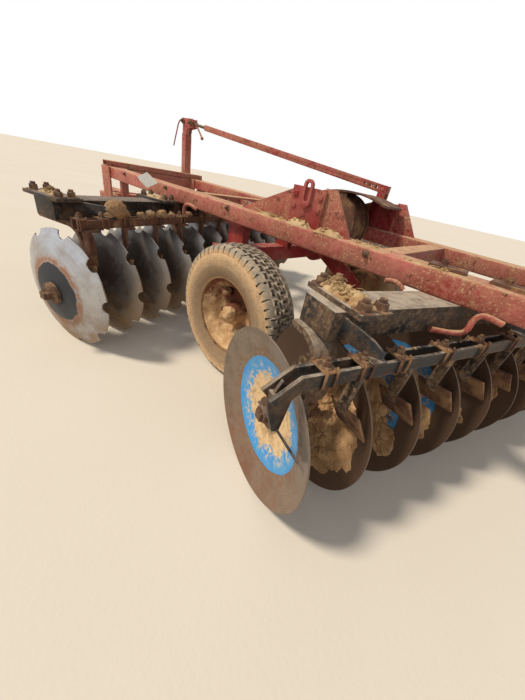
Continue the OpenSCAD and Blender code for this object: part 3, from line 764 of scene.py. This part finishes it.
class HARROW_OT_red_steel(bpy.types.Operator):
    """Rounds and paints the rails, cross tubes, brackets, bearings, drawbar and mast"""

    bl_idname = "harrow.red_steel"
    bl_label = "Red steel"

    def execute(self, context):
        edge = context.scene.harrow_sizes.edge
        red = get_material(sun_faded_red_enamel)
        dusty = get_material(sun_faded_red_enamel, "dusty_red_enamel", dusty=0.7)
        # shaded_red_enamel is a less faded, deeper red copy that paints the shade on the wheel arms, bearings
        # and crank
        deep = get_material(sun_faded_red_enamel, "shaded_red_enamel", dusty=0.3, fresh=0.14)
        sound = get_material(sun_faded_red_enamel, "sound_crimson_enamel", dusty=0.3, fresh=0.10)
        for node, material, width in (
            ("rail_left", red, 0.009), ("rail_right", dusty, 0.009), ("cross_front", red, edge),
            ("cross_mid", dusty, 0.006), ("cross_rear", dusty, 0.006), ("bracket_left", red, 0.0015),
            ("bracket_right", red, 0.0015), ("hitch_ears", red, 0.002), ("drawbar_cross", red, edge),
            ("mast", red, 0.002), ("wheel_arms", deep, 0.002), ("drawbar_arm_left", red, 0.003),
            ("drawbar_arm_right", red, 0.003), ("level_tube", red, 0.002),
        ):
            made = rounded_copy(node, material, width)
            if node.startswith("bracket"):
                side = -1 if node.endswith("left") else 1
                middle = MACHINE @ Vector((side * RAIL_X, -0.1025, 0))
                repaint(
                    made, sound, lambda c, m=middle: abs(c.y - m.y) < 0.1020 and -0.060 < c.x - m.x < -0.0105
                )
        for node, material in (
            ("cross_fore", dusty), ("shaft_bearings", deep), ("crank_shaft", deep), ("drawbar_tongue", red),
        ):
            coat(node, material)
        return {"FINISHED"}


class HARROW_OT_gang_steel(bpy.types.Operator):
    """Rounds and paints the beams, bars and scrapers, and colours the hangers and axles"""

    bl_idname = "harrow.gang_steel"
    bl_label = "Gang steel"

    def execute(self, context):
        black = get_material(worn_black_enamel)
        dusty = get_material(worn_black_enamel, "dusty_black_enamel", dusty=0.9, muddy=0.06)
        grimy = get_material(worn_black_enamel, "grimy_black_enamel", dusty=0.8, muddy=0.03, dust="#7C7068")
        muddy = get_material(worn_black_enamel, "muddy_black_enamel", dusty=0.6, muddy=0.10)
        crust = get_material(earth_crusted_steel)
        brown = get_material(earth_crusted_steel, "browned_spring_steel", earthy=0.2)
        rusty = get_material(earth_crusted_steel, "rusty_blade_steel", earthy=0.7)
        forged = get_material(rusty_forged_steel)
        rounded_copy("beam_front", grimy, 0.006)
        rounded_copy("beam_rear", dusty, 0.006)
        front_bar = rounded_copy("scraper_bar_front", brown, 0.0015)
        repaint(front_bar, black, lambda c: c.z > 0.728)
        rounded_copy("scraper_bar_rear", black, 0.0015)
        # the rear shanks' muddy black enamel also paints the shade on their broad faces
        for node, gang, shank in (("scrapers_front", FRONT, brown), ("scrapers_rear", REAR, muddy)):
            made = rounded_copy(node, shank, 0.0008)
            repaint(made, rusty, lambda c, g=gang: self.on_blade(g, c))
        # the rear gang's end scraper is black, blade and all
        repaint(made, black, lambda c: (REAR.inverted() @ c).x < 0.02)
        for node, material in (
            ("hangers_front", crust), ("hangers_rear", muddy), ("guard_drum", crust), ("lift_barrel", black),
            ("axle_front", forged), ("axle_rear", forged), ("level_screw", forged),
            ("discs_front", get_material(soil_polished_steel)),
            ("discs_rear", get_material(browned_steel_blue_middle)),
            ("lift_rod", get_material(hard_chromed_steel)),
        ):
            coat(node, material)
        return {"FINISHED"}

    def on_blade(self, gang, point):
        """Whether a point lies on one of a gang's scraper blades"""
        here = gang.inverted() @ point
        # the front gang's blades mirror the rear one's, each a little short of its disc
        side, t = (-1, -0.1545) if gang is FRONT else (1, -0.2040)
        short = 0.0155
        blade = at(-short, t, 0.462) @ turned(82, "Z") @ turned(11.4, "Y") @ turned(152.3, "X")
        k = round((here.x + side * short) / PITCH)
        if gang is REAR and k == 0:
            return False
        local = blade.inverted() @ Vector((side * (here.x - k * PITCH), here.y, here.z))
        half_size = (0.0755, 0.0052, 0.0525)
        return all(abs(c) < half for c, half in zip(local, half_size))


class HARROW_OT_wheels(bpy.types.Operator):
    """Builds the treaded tyres and colours the rims"""

    bl_idname = "harrow.wheels"
    bl_label = "Wheels"

    def execute(self, context):
        rim_clay = get_material(earth_crusted_steel, "earth_filled_rim_paint", earthy=1.0)
        for side, name in ((-1, "left"), (1, "right")):
            self.tyre(name, MACHINE @ at(side * WHEEL_X, 0, TYRE_R), context.scene.harrow_sizes.tread_depth)
            coat("rim_" + name, rim_clay)
        return {"FINISHED"}

    def tyre(self, name, wheel, depth):
        """A tyre with slots pressed into its shoulders and dashes into its tread"""
        steps, repeat = 432, 8
        # (across, radius) from the inner bead over the tread to its middle
        half = [
            (0.0665, 0.2052), (0.0700, 0.2160), (0.0800, 0.2166), (0.0860, 0.2290), (0.0930, 0.2450),
            (0.0985, 0.2700), (0.0995, 0.2760), (0.0980, 0.2800), (0.0996, 0.3050), (0.0970, 0.3280),
            (0.0945, 0.3330), (0.0960, 0.3390), (0.0905, 0.3600), (0.0840, 0.3690), (0.0690, 0.3740),
            (0.0550, 0.3760), (0.0528, 0.3763), (0.0272, 0.3803), (0.0250, 0.3806), (0.0011, 0.3820),
        ]
        bm = bmesh.new()
        spin(bm, [(-a, r) for a, r in half] + [(a, r) for a, r in reversed(half)], steps, closed=True)
        bmesh.ops.recalc_face_normals(bm, faces=bm.faces)
        # the dashed lines wave a little to each side of the tread's circle
        dashed, wave = 0.058, 0.0030
        for v in bm.verts:
            if abs(v.co.x) < dashed and math.hypot(v.co.y, v.co.z) > 0.37:
                beat = math.atan2(v.co.z, v.co.y) / math.tau * steps + (0 if v.co.x > 0.002 else repeat / 2)
                v.co.x += wave * math.sin(beat / repeat * math.tau)
        made = bmesh.ops.extrude_face_region(bm, geom=self.slots(bm, steps, repeat))["geom"]
        for v in made:
            if isinstance(v, bmesh.types.BMVert):
                radius = math.hypot(v.co.y, v.co.z)
                v.co.y *= (radius - depth) / radius
                v.co.z *= (radius - depth) / radius
                # the shoulder slots lean inward
                if abs(v.co.x) > 0.086:
                    v.co.x *= 0.97
        floors = [f for f in made if isinstance(f, bmesh.types.BMFace)]
        # the slots' floors and walls take the second rubber, darkened as painted shade
        for face in floors:
            for near in set(f for e in face.edges for f in e.link_faces):
                if near in floors or abs(near.normal.dot(face.normal)) < 0.5:
                    near.material_index = 1
        bmesh.ops.transform(bm, matrix=wheel, verts=bm.verts)
        rubber = get_material(weathered_tyre_rubber)
        stands_for = ("tyre_" + name,)
        tread = piece("tyre_tread_" + name, bm, "wheel_" + name, rubber, stands_for, sharp=38)
        tread.data.materials.append(get_material(weathered_tyre_rubber, "groove_rubber", shade=0.75))

    def slots(self, bm, steps, repeat):
        """Faces of the shoulder slots and of the dashed lines, half a repeat apart at each side"""
        dash = range(1, 6)
        slots = []
        for face in bm.faces:
            mid = face.calc_center_median()
            if math.hypot(mid.y, mid.z) < 0.340:
                continue
            turn = int(round((math.atan2(mid.z, mid.y) / math.tau % 1) * steps - 0.5)) % steps
            beat = (turn + (0 if mid.x > 0 else repeat // 2)) % repeat
            narrow = face.calc_area() < 0.0025 * 0.0057
            across = abs(mid.x)
            if (
                across > 0.0840 and beat == 0
                or 0.0690 < across <= 0.0840 and beat == 1
                or narrow and (across > 0.045 or across < 0.008) and beat in dash
                or narrow and 0.015 < across < 0.040 and (beat + repeat // 2) % repeat in dash
            ):
                slots.append(face)
        return slots


class HARROW_OT_fasteners(bpy.types.Operator):
    """Adds the bolts, nuts, clamps and small plates"""

    bl_idname = "harrow.fasteners"
    bl_label = "Fasteners"

    def execute(self, context):
        forged = get_material(rusty_forged_steel)
        self.plate_bolts(context.scene.harrow_sizes.bolt_flats, forged)
        self.rail_bolts(forged)
        self.bar_clamps(forged)
        return {"FINISHED"}

    def plate_bolts(self, flats, forged):
        """Nuts on the clamp plates that hold the beams to their hangers"""
        bm = bmesh.new()
        for gang, middles, rows, gap in (
            (FRONT, (0.080, 0.800, 1.740, 2.450), (0.005, 0.205), 0.033),
            (REAR, (0.235, 1.000, 2.020, 2.590), (-0.117, 0.085), 0.034),
        ):
            for s in middles:
                for t in rows:
                    for side in (-1, 1):
                        loose = Matrix.Rotation(s * 7 + side, 4, "Z")
                        bolt(bm, gang @ at(s + side * gap, t, PLATE_TOP) @ loose, flats, 0.012)
        piece("plate_nuts", bm, "frame", forged)

    def rail_bolts(self, forged):
        """Bolt ends on the rails' outer faces"""
        bm = bmesh.new()
        for side in (-1, 1):
            for y in (1.920, 1.201, 0.452, -0.521, -1.160):
                face = MACHINE @ at(side * (RAIL_X + 0.075), y, RAIL_TOP - 0.022)
                bolt(bm, face @ turned(side * 90, "Y"), 0.019, 0.010)
        piece("rail_bolts", bm, "frame", forged)

    def bar_clamps(self, forged):
        """Strap clamps round the twin flats of the scraper bars, with a nut on each"""
        nuts = bmesh.new()
        straps = bmesh.new()
        slack, twin = 0.006, 0.045
        for gang, bar_t, bar_z, ends, ahead in (
            (FRONT, -0.075, 0.702, [0.066, 0.190], 0.095), (REAR, -0.160, 0.656, [0.063, 0.198], 0.120),
        ):
            top = bar_z + 0.022
            near, far = bar_t + slack, bar_t - twin - slack
            # the strap's near half from its end down, (outward, height)
            half = [
                (0.005, top + 0.010), (0.006, top - 0.010), (0.006, bar_z - 0.020), (0.001, bar_z - 0.027),
            ]
            strap = [(near + out, z) for out, z in half] + [((near + far) / 2, bar_z - 0.028)]
            strap += [(far - out, z) for out, z in reversed(half)] + [(far + 0.004, top + 0.014)]
            for k, s in enumerate(ends + [k * PITCH + ahead for k in range(1, 11)]):
                low, high = (s - 0.024, far - 0.004, top), (s + 0.024, near + 0.004, top + slack)
                block(straps, low, high, gang, 0.0015)
                loose = Matrix.Rotation(k * 0.7, 4, "Z")
                bolt(nuts, gang @ at(s, (near + far) / 2, top + slack) @ loose, 0.024, 0.010)
                for side in (-1, 1):
                    rod(straps, [gang @ Vector((s + side * 0.0185, t, z)) for t, z in strap], 0.0042, 8)
        piece("bar_clamp_nuts", nuts, "frame", forged)
        earthy = get_material(earth_crusted_steel, "dusty_strap_steel", earthy=0.6)
        piece("bar_clamp_straps", straps, "frame", earthy, sharp=50)


class HARROW_OT_small_parts(bpy.types.Operator):
    """Adds the bent rods, the blank card, the slotted plates and the mast's handle"""

    bl_idname = "harrow.small_parts"
    bl_label = "Small parts"

    def execute(self, context):
        self.bent_rods(get_material(sun_faded_red_enamel, "dusty_red_enamel", dusty=0.7))
        self.card(get_material(bare_white_card))
        self.slotted_plates(get_material(earth_crusted_steel))
        self.mast_handle(get_material(sun_faded_red_enamel), get_material(rusty_forged_steel))
        return {"FINISHED"}

    def bent_rods(self, red):
        """Bent bars that hold the beams under the left rail"""
        bm = bmesh.new()
        for points, radius in (
            ([(-0.700, -0.917, 0.7107), (-0.663, -0.945, 0.7066), (-0.630, -0.980, 0.7068),
              (-0.605, -1.009, 0.7149), (-0.600, -1.016, 0.7386), (-0.597, -1.013, 0.7695),
              (-0.590, -1.024, 0.7894), (-0.585, -1.0465, 0.7946), (-0.572, -1.097, 0.7838)], 0.011),
            ([(-0.620, -0.668, 0.799), (-0.600, -0.698, 0.803), (-0.600, -0.727, 0.7964),
              (-0.600, -0.746, 0.7821)], 0.010),
            ([(-0.590, 0.892, 0.716), (-0.590, 0.894, 0.776), (-0.590, 0.874, 0.801), (-0.590, 0.830, 0.812),
              (-0.585, 0.795, 0.806), (-0.570, 0.770, 0.792)], 0.012),
        ):
            path = [MACHINE @ Vector(p) for p in points]
            smooth = [path[0]]
            for a, b in zip(path, path[1:]):
                smooth += [a.lerp(b, 0.25), a.lerp(b, 0.75)]
            rod(bm, smooth + [path[-1]], radius, 14)
        piece("bent_rods", bm, "frame", red, sharp=60)

    def card(self, white):
        """A blank card that hangs by one corner from the left rail"""
        bm = bmesh.new()
        corners = [
            (-0.6139, 1.3861, 0.9369), (-0.5615, 1.3162, 0.8775), (-0.6170, 1.3903, 0.8261),
            (-0.6644, 1.4534, 0.8884),
        ]
        face = bm.faces.new([bm.verts.new(MACHINE @ Vector(c)) for c in corners])
        bm.normal_update()
        made = bmesh.ops.extrude_face_region(bm, geom=[face])
        back = [v for v in made["geom"] if isinstance(v, bmesh.types.BMVert)]
        bmesh.ops.translate(bm, vec=face.normal * 0.0012, verts=back)
        piece("blank_card", bm, "frame", white, sharp=30)

    def slotted_plates(self, steel):
        """Stop plates with a slot, on top of the left rail"""
        bm = bmesh.new()
        thick = 0.012
        for x, y, degrees in ((-0.452, -0.835, 4), (-0.448, -1.060, -3)):
            place = MACHINE @ at(x, y, RAIL_TOP) @ turned(degrees, "Z")
            corners = ((-1, -1), (1, -1), (1, 1), (-1, 1))
            rings = [
                [bm.verts.new(place @ Vector((i * wide, j * long, z))) for i, j in corners]
                for z in (0.0, thick) for wide, long in ((0.045, 0.070), (0.010, 0.045))
            ]
            for i in range(4):
                j = (i + 1) % 4
                for a, b in ((0, 1), (2, 3), (0, 2), (1, 3)):
                    bm.faces.new((rings[a][i], rings[a][j], rings[b][j], rings[b][i]))
            bolt(bm, place @ at(0, 0.020, thick), 0.024, 0.008)
        bmesh.ops.recalc_face_normals(bm, faces=bm.faces)
        edges = [e for e in bm.edges if len(e.link_faces) == 2 and e.calc_length() > 0.015]
        round_edges(bm, edges, 0.0012, clamp=True)
        piece("slotted_plates", bm, "frame", steel, sharp=40)

    def mast_handle(self, red, forged):
        """The levelling screw's cranked handle with its knob, and the mast's locking rod"""
        bm = bmesh.new()
        mast = MACHINE @ at(RAIL_X, 0, 0)
        knob = mast @ at(0, 2.248, 1.300)
        bmesh.ops.create_uvsphere(bm, u_segments=20, v_segments=12, radius=0.017, matrix=knob)
        crank = [(0, 2.385, 1.404), (0, 2.340, 1.390), (0, 2.290, 1.345), (0, 2.250, 1.302)]
        lock = [(-0.045, 2.640, 1.440), (-0.045, 2.672, 1.410), (-0.045, 2.774, 1.190)]
        for points, radius, sides in ((crank, 0.009, 12), (lock, 0.007, 10)):
            rod(bm, [mast @ Vector(p) for p in points], radius, sides)
        piece("mast_handle", bm, body_of("mast"), red, sharp=50)
        nuts = bmesh.new()
        for y, z in ((2.430, 1.425), (2.585, 1.440)):
            for side in (-1, 1):
                bolt(nuts, mast @ at(side * 0.041, y, z) @ turned(side * 90, "Y"), 0.030, 0.010)
        piece("mast_nuts", nuts, body_of("mast"), forged)


class HARROW_OT_earth(bpy.types.Operator):
    """Adds the dried clods, the cakes on the discs and in the rims, and the chaff"""

    bl_idname = "harrow.earth"
    bl_label = "Earth"

    def execute(self, context):
        self.rim_earth()
        self.bar_clods(get_material(dried_clay, "crumbled_clay", pale="#A98F72", deep="#5F4834"))
        chaff = get_material(dried_clay, "chaff_and_crumbs", pale="#DCC49C", deep="#A4875F")
        self.chaff(chaff, get_material(dry_straw))
        self.disc_cakes(get_material(dried_clay, "cracked_clay", pale="#DDB88D", deep="#A17A54", cracked=1.0))
        return {"FINISHED"}

    def chaff(self, chaff, straw):
        """Heaps of crumbs and straw on the left rail and the clamp plates"""
        draw = random.Random(5)
        bm = bmesh.new()
        stalks = bmesh.new()
        rail = MACHINE @ at(-RAIL_X, 0, RAIL_TOP) @ turned(90, "Z")
        plates = [
            gang @ at(s, t, PLATE_TOP) @ turned(90, "Z")
            for gang, t, spots in ((REAR, -0.015, (0.235, 1.000)), (FRONT, 0.105, (0.080, 0.800)))
            for s in spots
        ]
        for place, x, y, long, wide, high, count in (
            (rail, -0.285, 0.010, 0.150, 0.130, 0.026, 24), (rail, -0.100, 0.042, 0.150, 0.060, 0.034, 30),
            (rail, 0.120, 0.030, 0.230, 0.080, 0.018, 20), (rail, -0.480, 0.000, 0.220, 0.110, 0.006, 10),
            (rail, -0.800, 0.045, 0.300, 0.050, 0.005, 8), (plates[0], 0.010, 0.005, 0.250, 0.095, 0.026, 40),
            (plates[1], 0.0, 0.0, 0.200, 0.090, 0.012, 10), (plates[2], 0.0, 0.0, 0.180, 0.080, 0.010, 10),
            (plates[3], 0.0, 0.0, 0.200, 0.090, 0.012, 10),
        ):
            here = place @ at(x, y, 0)
            heap(bm, here, long, wide, high, x * 10 + 3)
            crumbs(bm, here @ at(0, 0, high * 0.4), long, wide, count, 0.008, draw)
            straws(stalks, here @ at(0, 0, high * 0.6), long, wide, count // 2, draw)
        piece("chaff_heaps", bm, "frame", chaff, sharp=70)
        piece("straw_bits", stalks, "frame", straw, sharp=60)

    def disc_cakes(self, clay):
        """Cakes of clay dried in the hollows of the rear discs, and clods on the spools"""
        # without a seed, noise_vector would change with the clock
        noise.seed_set(1)
        bm = bmesh.new()
        self.cake(bm, 1, (-0.095, -0.015), 0.205, 0.018, 1, 220, 64)
        for k, t, z, radius, thick in (
            (2, -0.170, -0.090, 0.085, 0.012), (2, -0.040, 0.020, 0.100, 0.020),
            (3, -0.190, -0.075, 0.070, 0.010), (4, -0.200, -0.050, 0.065, 0.010),
            (5, -0.190, 0.040, 0.060, 0.010), (6, -0.120, -0.120, 0.090, 0.012),
            (8, -0.150, 0.060, 0.080, 0.012), (9, 0.060, -0.120, 0.090, 0.012),
            (11, -0.100, -0.050, 0.120, 0.014),
        ):
            self.cake(bm, k, (t, z), radius, thick, k + t * 10, 72, 18)
        for k, t, z, along, radius in (
            (1, -0.055, 0.050, 0.046, 0.034), (1, 0.030, 0.045, 0.040, 0.030),
            (1, -0.020, -0.058, 0.044, 0.032), (2, -0.048, 0.038, 0.046, 0.032),
            (3, -0.040, -0.040, 0.044, 0.030), (5, -0.048, 0.030, 0.044, 0.030),
        ):
            lump(bm, REAR @ at(k * PITCH + along, t, AXLE_Z + z), radius, k * 3 + t * 40, 4, 0.5)
        piece("disc_cakes", bm, "gang_rear", clay, sharp=60)

    def cake(self, bm, k, middle, radius, thick, seed, rays, rings):
        """One cake on the hollow face of disc k, its outline and height ragged, split by cracks"""
        hollow = Vector((k * PITCH + DISH - SPHERE_R, 0, AXLE_Z))
        offset = Vector((seed * 5.1, seed * 2.3, seed))
        thinnest, farthest = 0.0004, 0.300
        grid = []
        for ring in range(rings + 1):
            share = ring / rings
            row = []
            for ray in range(rays):
                angle = math.tau * ray / rays
                way = Vector((math.cos(angle), math.sin(angle), 0))
                reach = radius * (1 + 0.45 * noise.fractal(way * 0.9 + offset, 0.9, 2.2, 5))
                t, z = middle[0] + way.x * reach * share, middle[1] + way.y * reach * share
                away = math.hypot(t, z)
                if away > farthest:
                    t, z, away = t * farthest / away, z * farthest / away, farthest
                spot = Vector((t, z, 0))
                bent = noise.noise_vector(spot * 9 + offset) * 0.35
                near = noise.voronoi(spot * 6.5 + bent + offset + Vector((0, 0, 0.3)))[0]
                split = min(1.0, max(0.0, (near[1] - near[0]) / 0.035))
                wave = noise.fractal(spot * 18 + offset, 0.8, 2.1, 5)
                high = thick * (1 - share**6) ** 0.5 * (0.80 + 0.35 * wave) * (0.55 + 0.45 * split)
                row.append((t, z, max(thinnest, min(high, self.shaved(away)))))
            grid.append(row)

        def on_disc(t, z, high):
            """A vertex that far off the hollow face"""
            ball = SPHERE_R - 0.003 - high
            return bm.verts.new(REAR @ (hollow + Vector((math.sqrt(ball * ball - t * t - z * z), t, z))))

        sunk = -0.0006
        top = [[on_disc(t, z, high) for t, z, high in row] for row in grid]
        under = [[on_disc(t, z, sunk) for t, z, _ in row] for row in grid]
        for sheet, flip in ((top, True), (under, False)):
            (middle_spot, *spare), *sheet = sheet
            skin(bm, sheet, flip=flip)
            for pair in zip(sheet[0], sheet[0][1:] + sheet[0][:1]):
                bm.faces.new((middle_spot, *(pair[::-1] if flip else pair)))
            bmesh.ops.delete(bm, geom=spare, context="VERTS")
        skin(bm, [top[rings], under[rings]])

    def shaved(self, away):
        """How high a cake may stand before a scraper shaves it, that far from the axle"""
        heights = (
            (0.0, 0.040), (0.15, 0.024), (0.20, 0.018), (0.235, 0.0035), (0.26, 0.0035), (0.285, 0.002),
            (0.31, 0.0),
        )
        for (start, first), (end, last) in zip(heights, heights[1:]):
            if away <= end:
                return first + (last - first) * (away - start) / (end - start)

    def rim_earth(self):
        """Earth dried in the wheels' dishes, with a ball of it over the hub"""
        # the rim clay's top is dark red-brown, partly rust and partly painted shade from the rim above it
        clay = get_material(dried_clay, "rim_clay", pale="#E3C297", deep="#A17A52", rusty_above=TYRE_R + 0.01)
        pale = get_material(dried_clay, "pale_clay", pale="#E6C79E", deep="#B08A60")
        # (outward from the wheel's middle, radius) over the dish's face
        profile = [
            (0.074, 0.2035), (0.055, 0.1955), (0.030, 0.182), (0.012, 0.160), (-0.010, 0.156),
            (-0.024, 0.145), (-0.032, 0.120), (-0.036, 0.090), (-0.030, 0.066), (0.000, 0.060),
            (0.026, 0.056), (0.034, 0.045), (0.040, 0.020), (0.041, 0.003),
        ]
        for side, name in ((-1, "left"), (1, "right")):
            bm = bmesh.new()
            spin(bm, [(side * out, radius) for out, radius in profile], 96)
            bmesh.ops.subdivide_edges(bm, edges=bm.edges, cuts=1, use_grid_fill=True)
            bmesh.ops.recalc_face_normals(bm, faces=bm.faces)
            for v in bm.verts:
                radius = math.hypot(v.co.y, v.co.z)
                fold = noise.fractal(v.co * 14 + Vector((side * 3, 0, 0)), 0.7, 2.1, 5)
                fine = noise.fractal(v.co * 55, 0.8, 2.1, 4)
                rim_fade = min(1.0, max(0.0, (0.203 - radius) / 0.03))
                push = (0.006 + 0.014 * fold + 0.003 * fine) * rim_fade
                low = max(0.0, -v.co.z / 0.2) * rim_fade
                v.co.x += side * (push + 0.022 * low * low)
                pull = 1 - (0.05 * max(0.0, fold) * rim_fade)
                v.co.y *= pull
                v.co.z *= pull
            bmesh.ops.solidify(bm, geom=bm.faces, thickness=0.004)
            lump(bm, at(side * 0.020, -0.07, -0.10), 0.040, 9 + side, 3, 0.45)
            lump(bm, at(side * 0.016, 0.06, 0.11), 0.030, 14 + side, 3, 0.45)
            wheel = MACHINE @ at(side * WHEEL_X, 0, TYRE_R)
            bmesh.ops.transform(bm, matrix=wheel, verts=bm.verts)
            piece("rim_earth_" + name, bm, "wheel_" + name, clay, sharp=70)
            ball = bmesh.new()
            lump(ball, wheel @ at(side * 0.054, -0.016, 0.010), 0.046, 4 + side, 4, 0.22)
            piece("hub_clod_" + name, ball, "wheel_" + name, pale, sharp=70)

    def bar_clods(self, clay):
        """Clods on the front scraper bar, and crumbs on the bars, beams and plates"""
        bm = bmesh.new()
        draw = random.Random(11)
        on_bar = [
            (0.285, -0.098, 0.768, 0.056), (0.345, -0.090, 0.742, 0.032), (0.235, -0.105, 0.736, 0.024),
            (0.460, -0.100, 0.732, 0.026), (0.540, -0.098, 0.735, 0.030), (0.640, -0.096, 0.733, 0.034),
            (0.720, -0.102, 0.730, 0.024), (0.900, -0.098, 0.730, 0.026), (1.120, -0.100, 0.738, 0.036),
            (1.300, -0.095, 0.732, 0.028), (1.580, -0.100, 0.735, 0.034),
        ]
        on_plates = [(REAR, 0.255, 0.075, 0.818, 0.024), (REAR, 0.205, 0.060, 0.812, 0.018)]
        clods = [(FRONT, *clod) for clod in on_bar] + on_plates + [(FRONT, 0.105, 0.16, 0.815, 0.020)]
        for index, (gang, s, t, z, radius) in enumerate(clods):
            rough = 0.13 if radius > 0.05 else 0.26
            lump(bm, gang @ at(s, t, z), radius, index * 3 + 42, 5, rough, 0.9)
        for _ in range(70):
            gang, s, t, z = draw.choice([
                (REAR, draw.gauss(0.235, 0.03), draw.uniform(-0.12, 0.09), PLATE_TOP + 0.001),
                (FRONT, draw.uniform(0.3, 2.4), draw.choice((-0.081, -0.126)), 0.726),
                (REAR, draw.uniform(0.3, 2.4), draw.choice((-0.166, -0.211)), 0.680),
                (FRONT, draw.uniform(0.15, 2.5), draw.uniform(0.04, 0.17), BEAM_TOP + 0.001),
            ])
            lump(bm, gang @ at(s, t, z), draw.uniform(0.004, 0.012), draw.random() * 50, 2, 0.5, 0.7)
        piece("clods", bm, "frame", clay, sharp=70)


class HARROW_PT_panel(bpy.types.Panel):
    """Lists the harrow's pieces"""

    bl_label = "Disc harrow"
    bl_idname = "HARROW_PT_panel"
    bl_space_type = "VIEW_3D"
    bl_region_type = "UI"
    bl_category = "Harrow"

    def draw(self, context):
        for group in (context.scene.harrow_colours, context.scene.harrow_sizes):
            for name in group.__annotations__:
                self.layout.prop(group, name)
        for operator in PIECES:
            self.layout.operator(operator.bl_idname)


PIECES = (
    HARROW_OT_stage,
    HARROW_OT_red_steel,
    HARROW_OT_gang_steel,
    HARROW_OT_wheels,
    HARROW_OT_fasteners,
    HARROW_OT_small_parts,
    HARROW_OT_earth,
)
CLASSES = (HarrowColours, HarrowSizes) + PIECES + (HARROW_PT_panel,)


def register():
    for cls in CLASSES:
        bpy.utils.register_class(cls)
    bpy.types.Scene.harrow_colours = bpy.props.PointerProperty(type=HarrowColours)
    bpy.types.Scene.harrow_sizes = bpy.props.PointerProperty(type=HarrowSizes)


def unregister():
    del bpy.types.Scene.harrow_sizes
    del bpy.types.Scene.harrow_colours
    for cls in reversed(CLASSES):
        bpy.utils.unregister_class(cls)


def main():
    """Builds everything."""
    register()
    for operator in PIECES:
        group, name = operator.bl_idname.split(".")
        getattr(getattr(bpy.ops, group), name)()


if __name__ == "__main__":
    main()
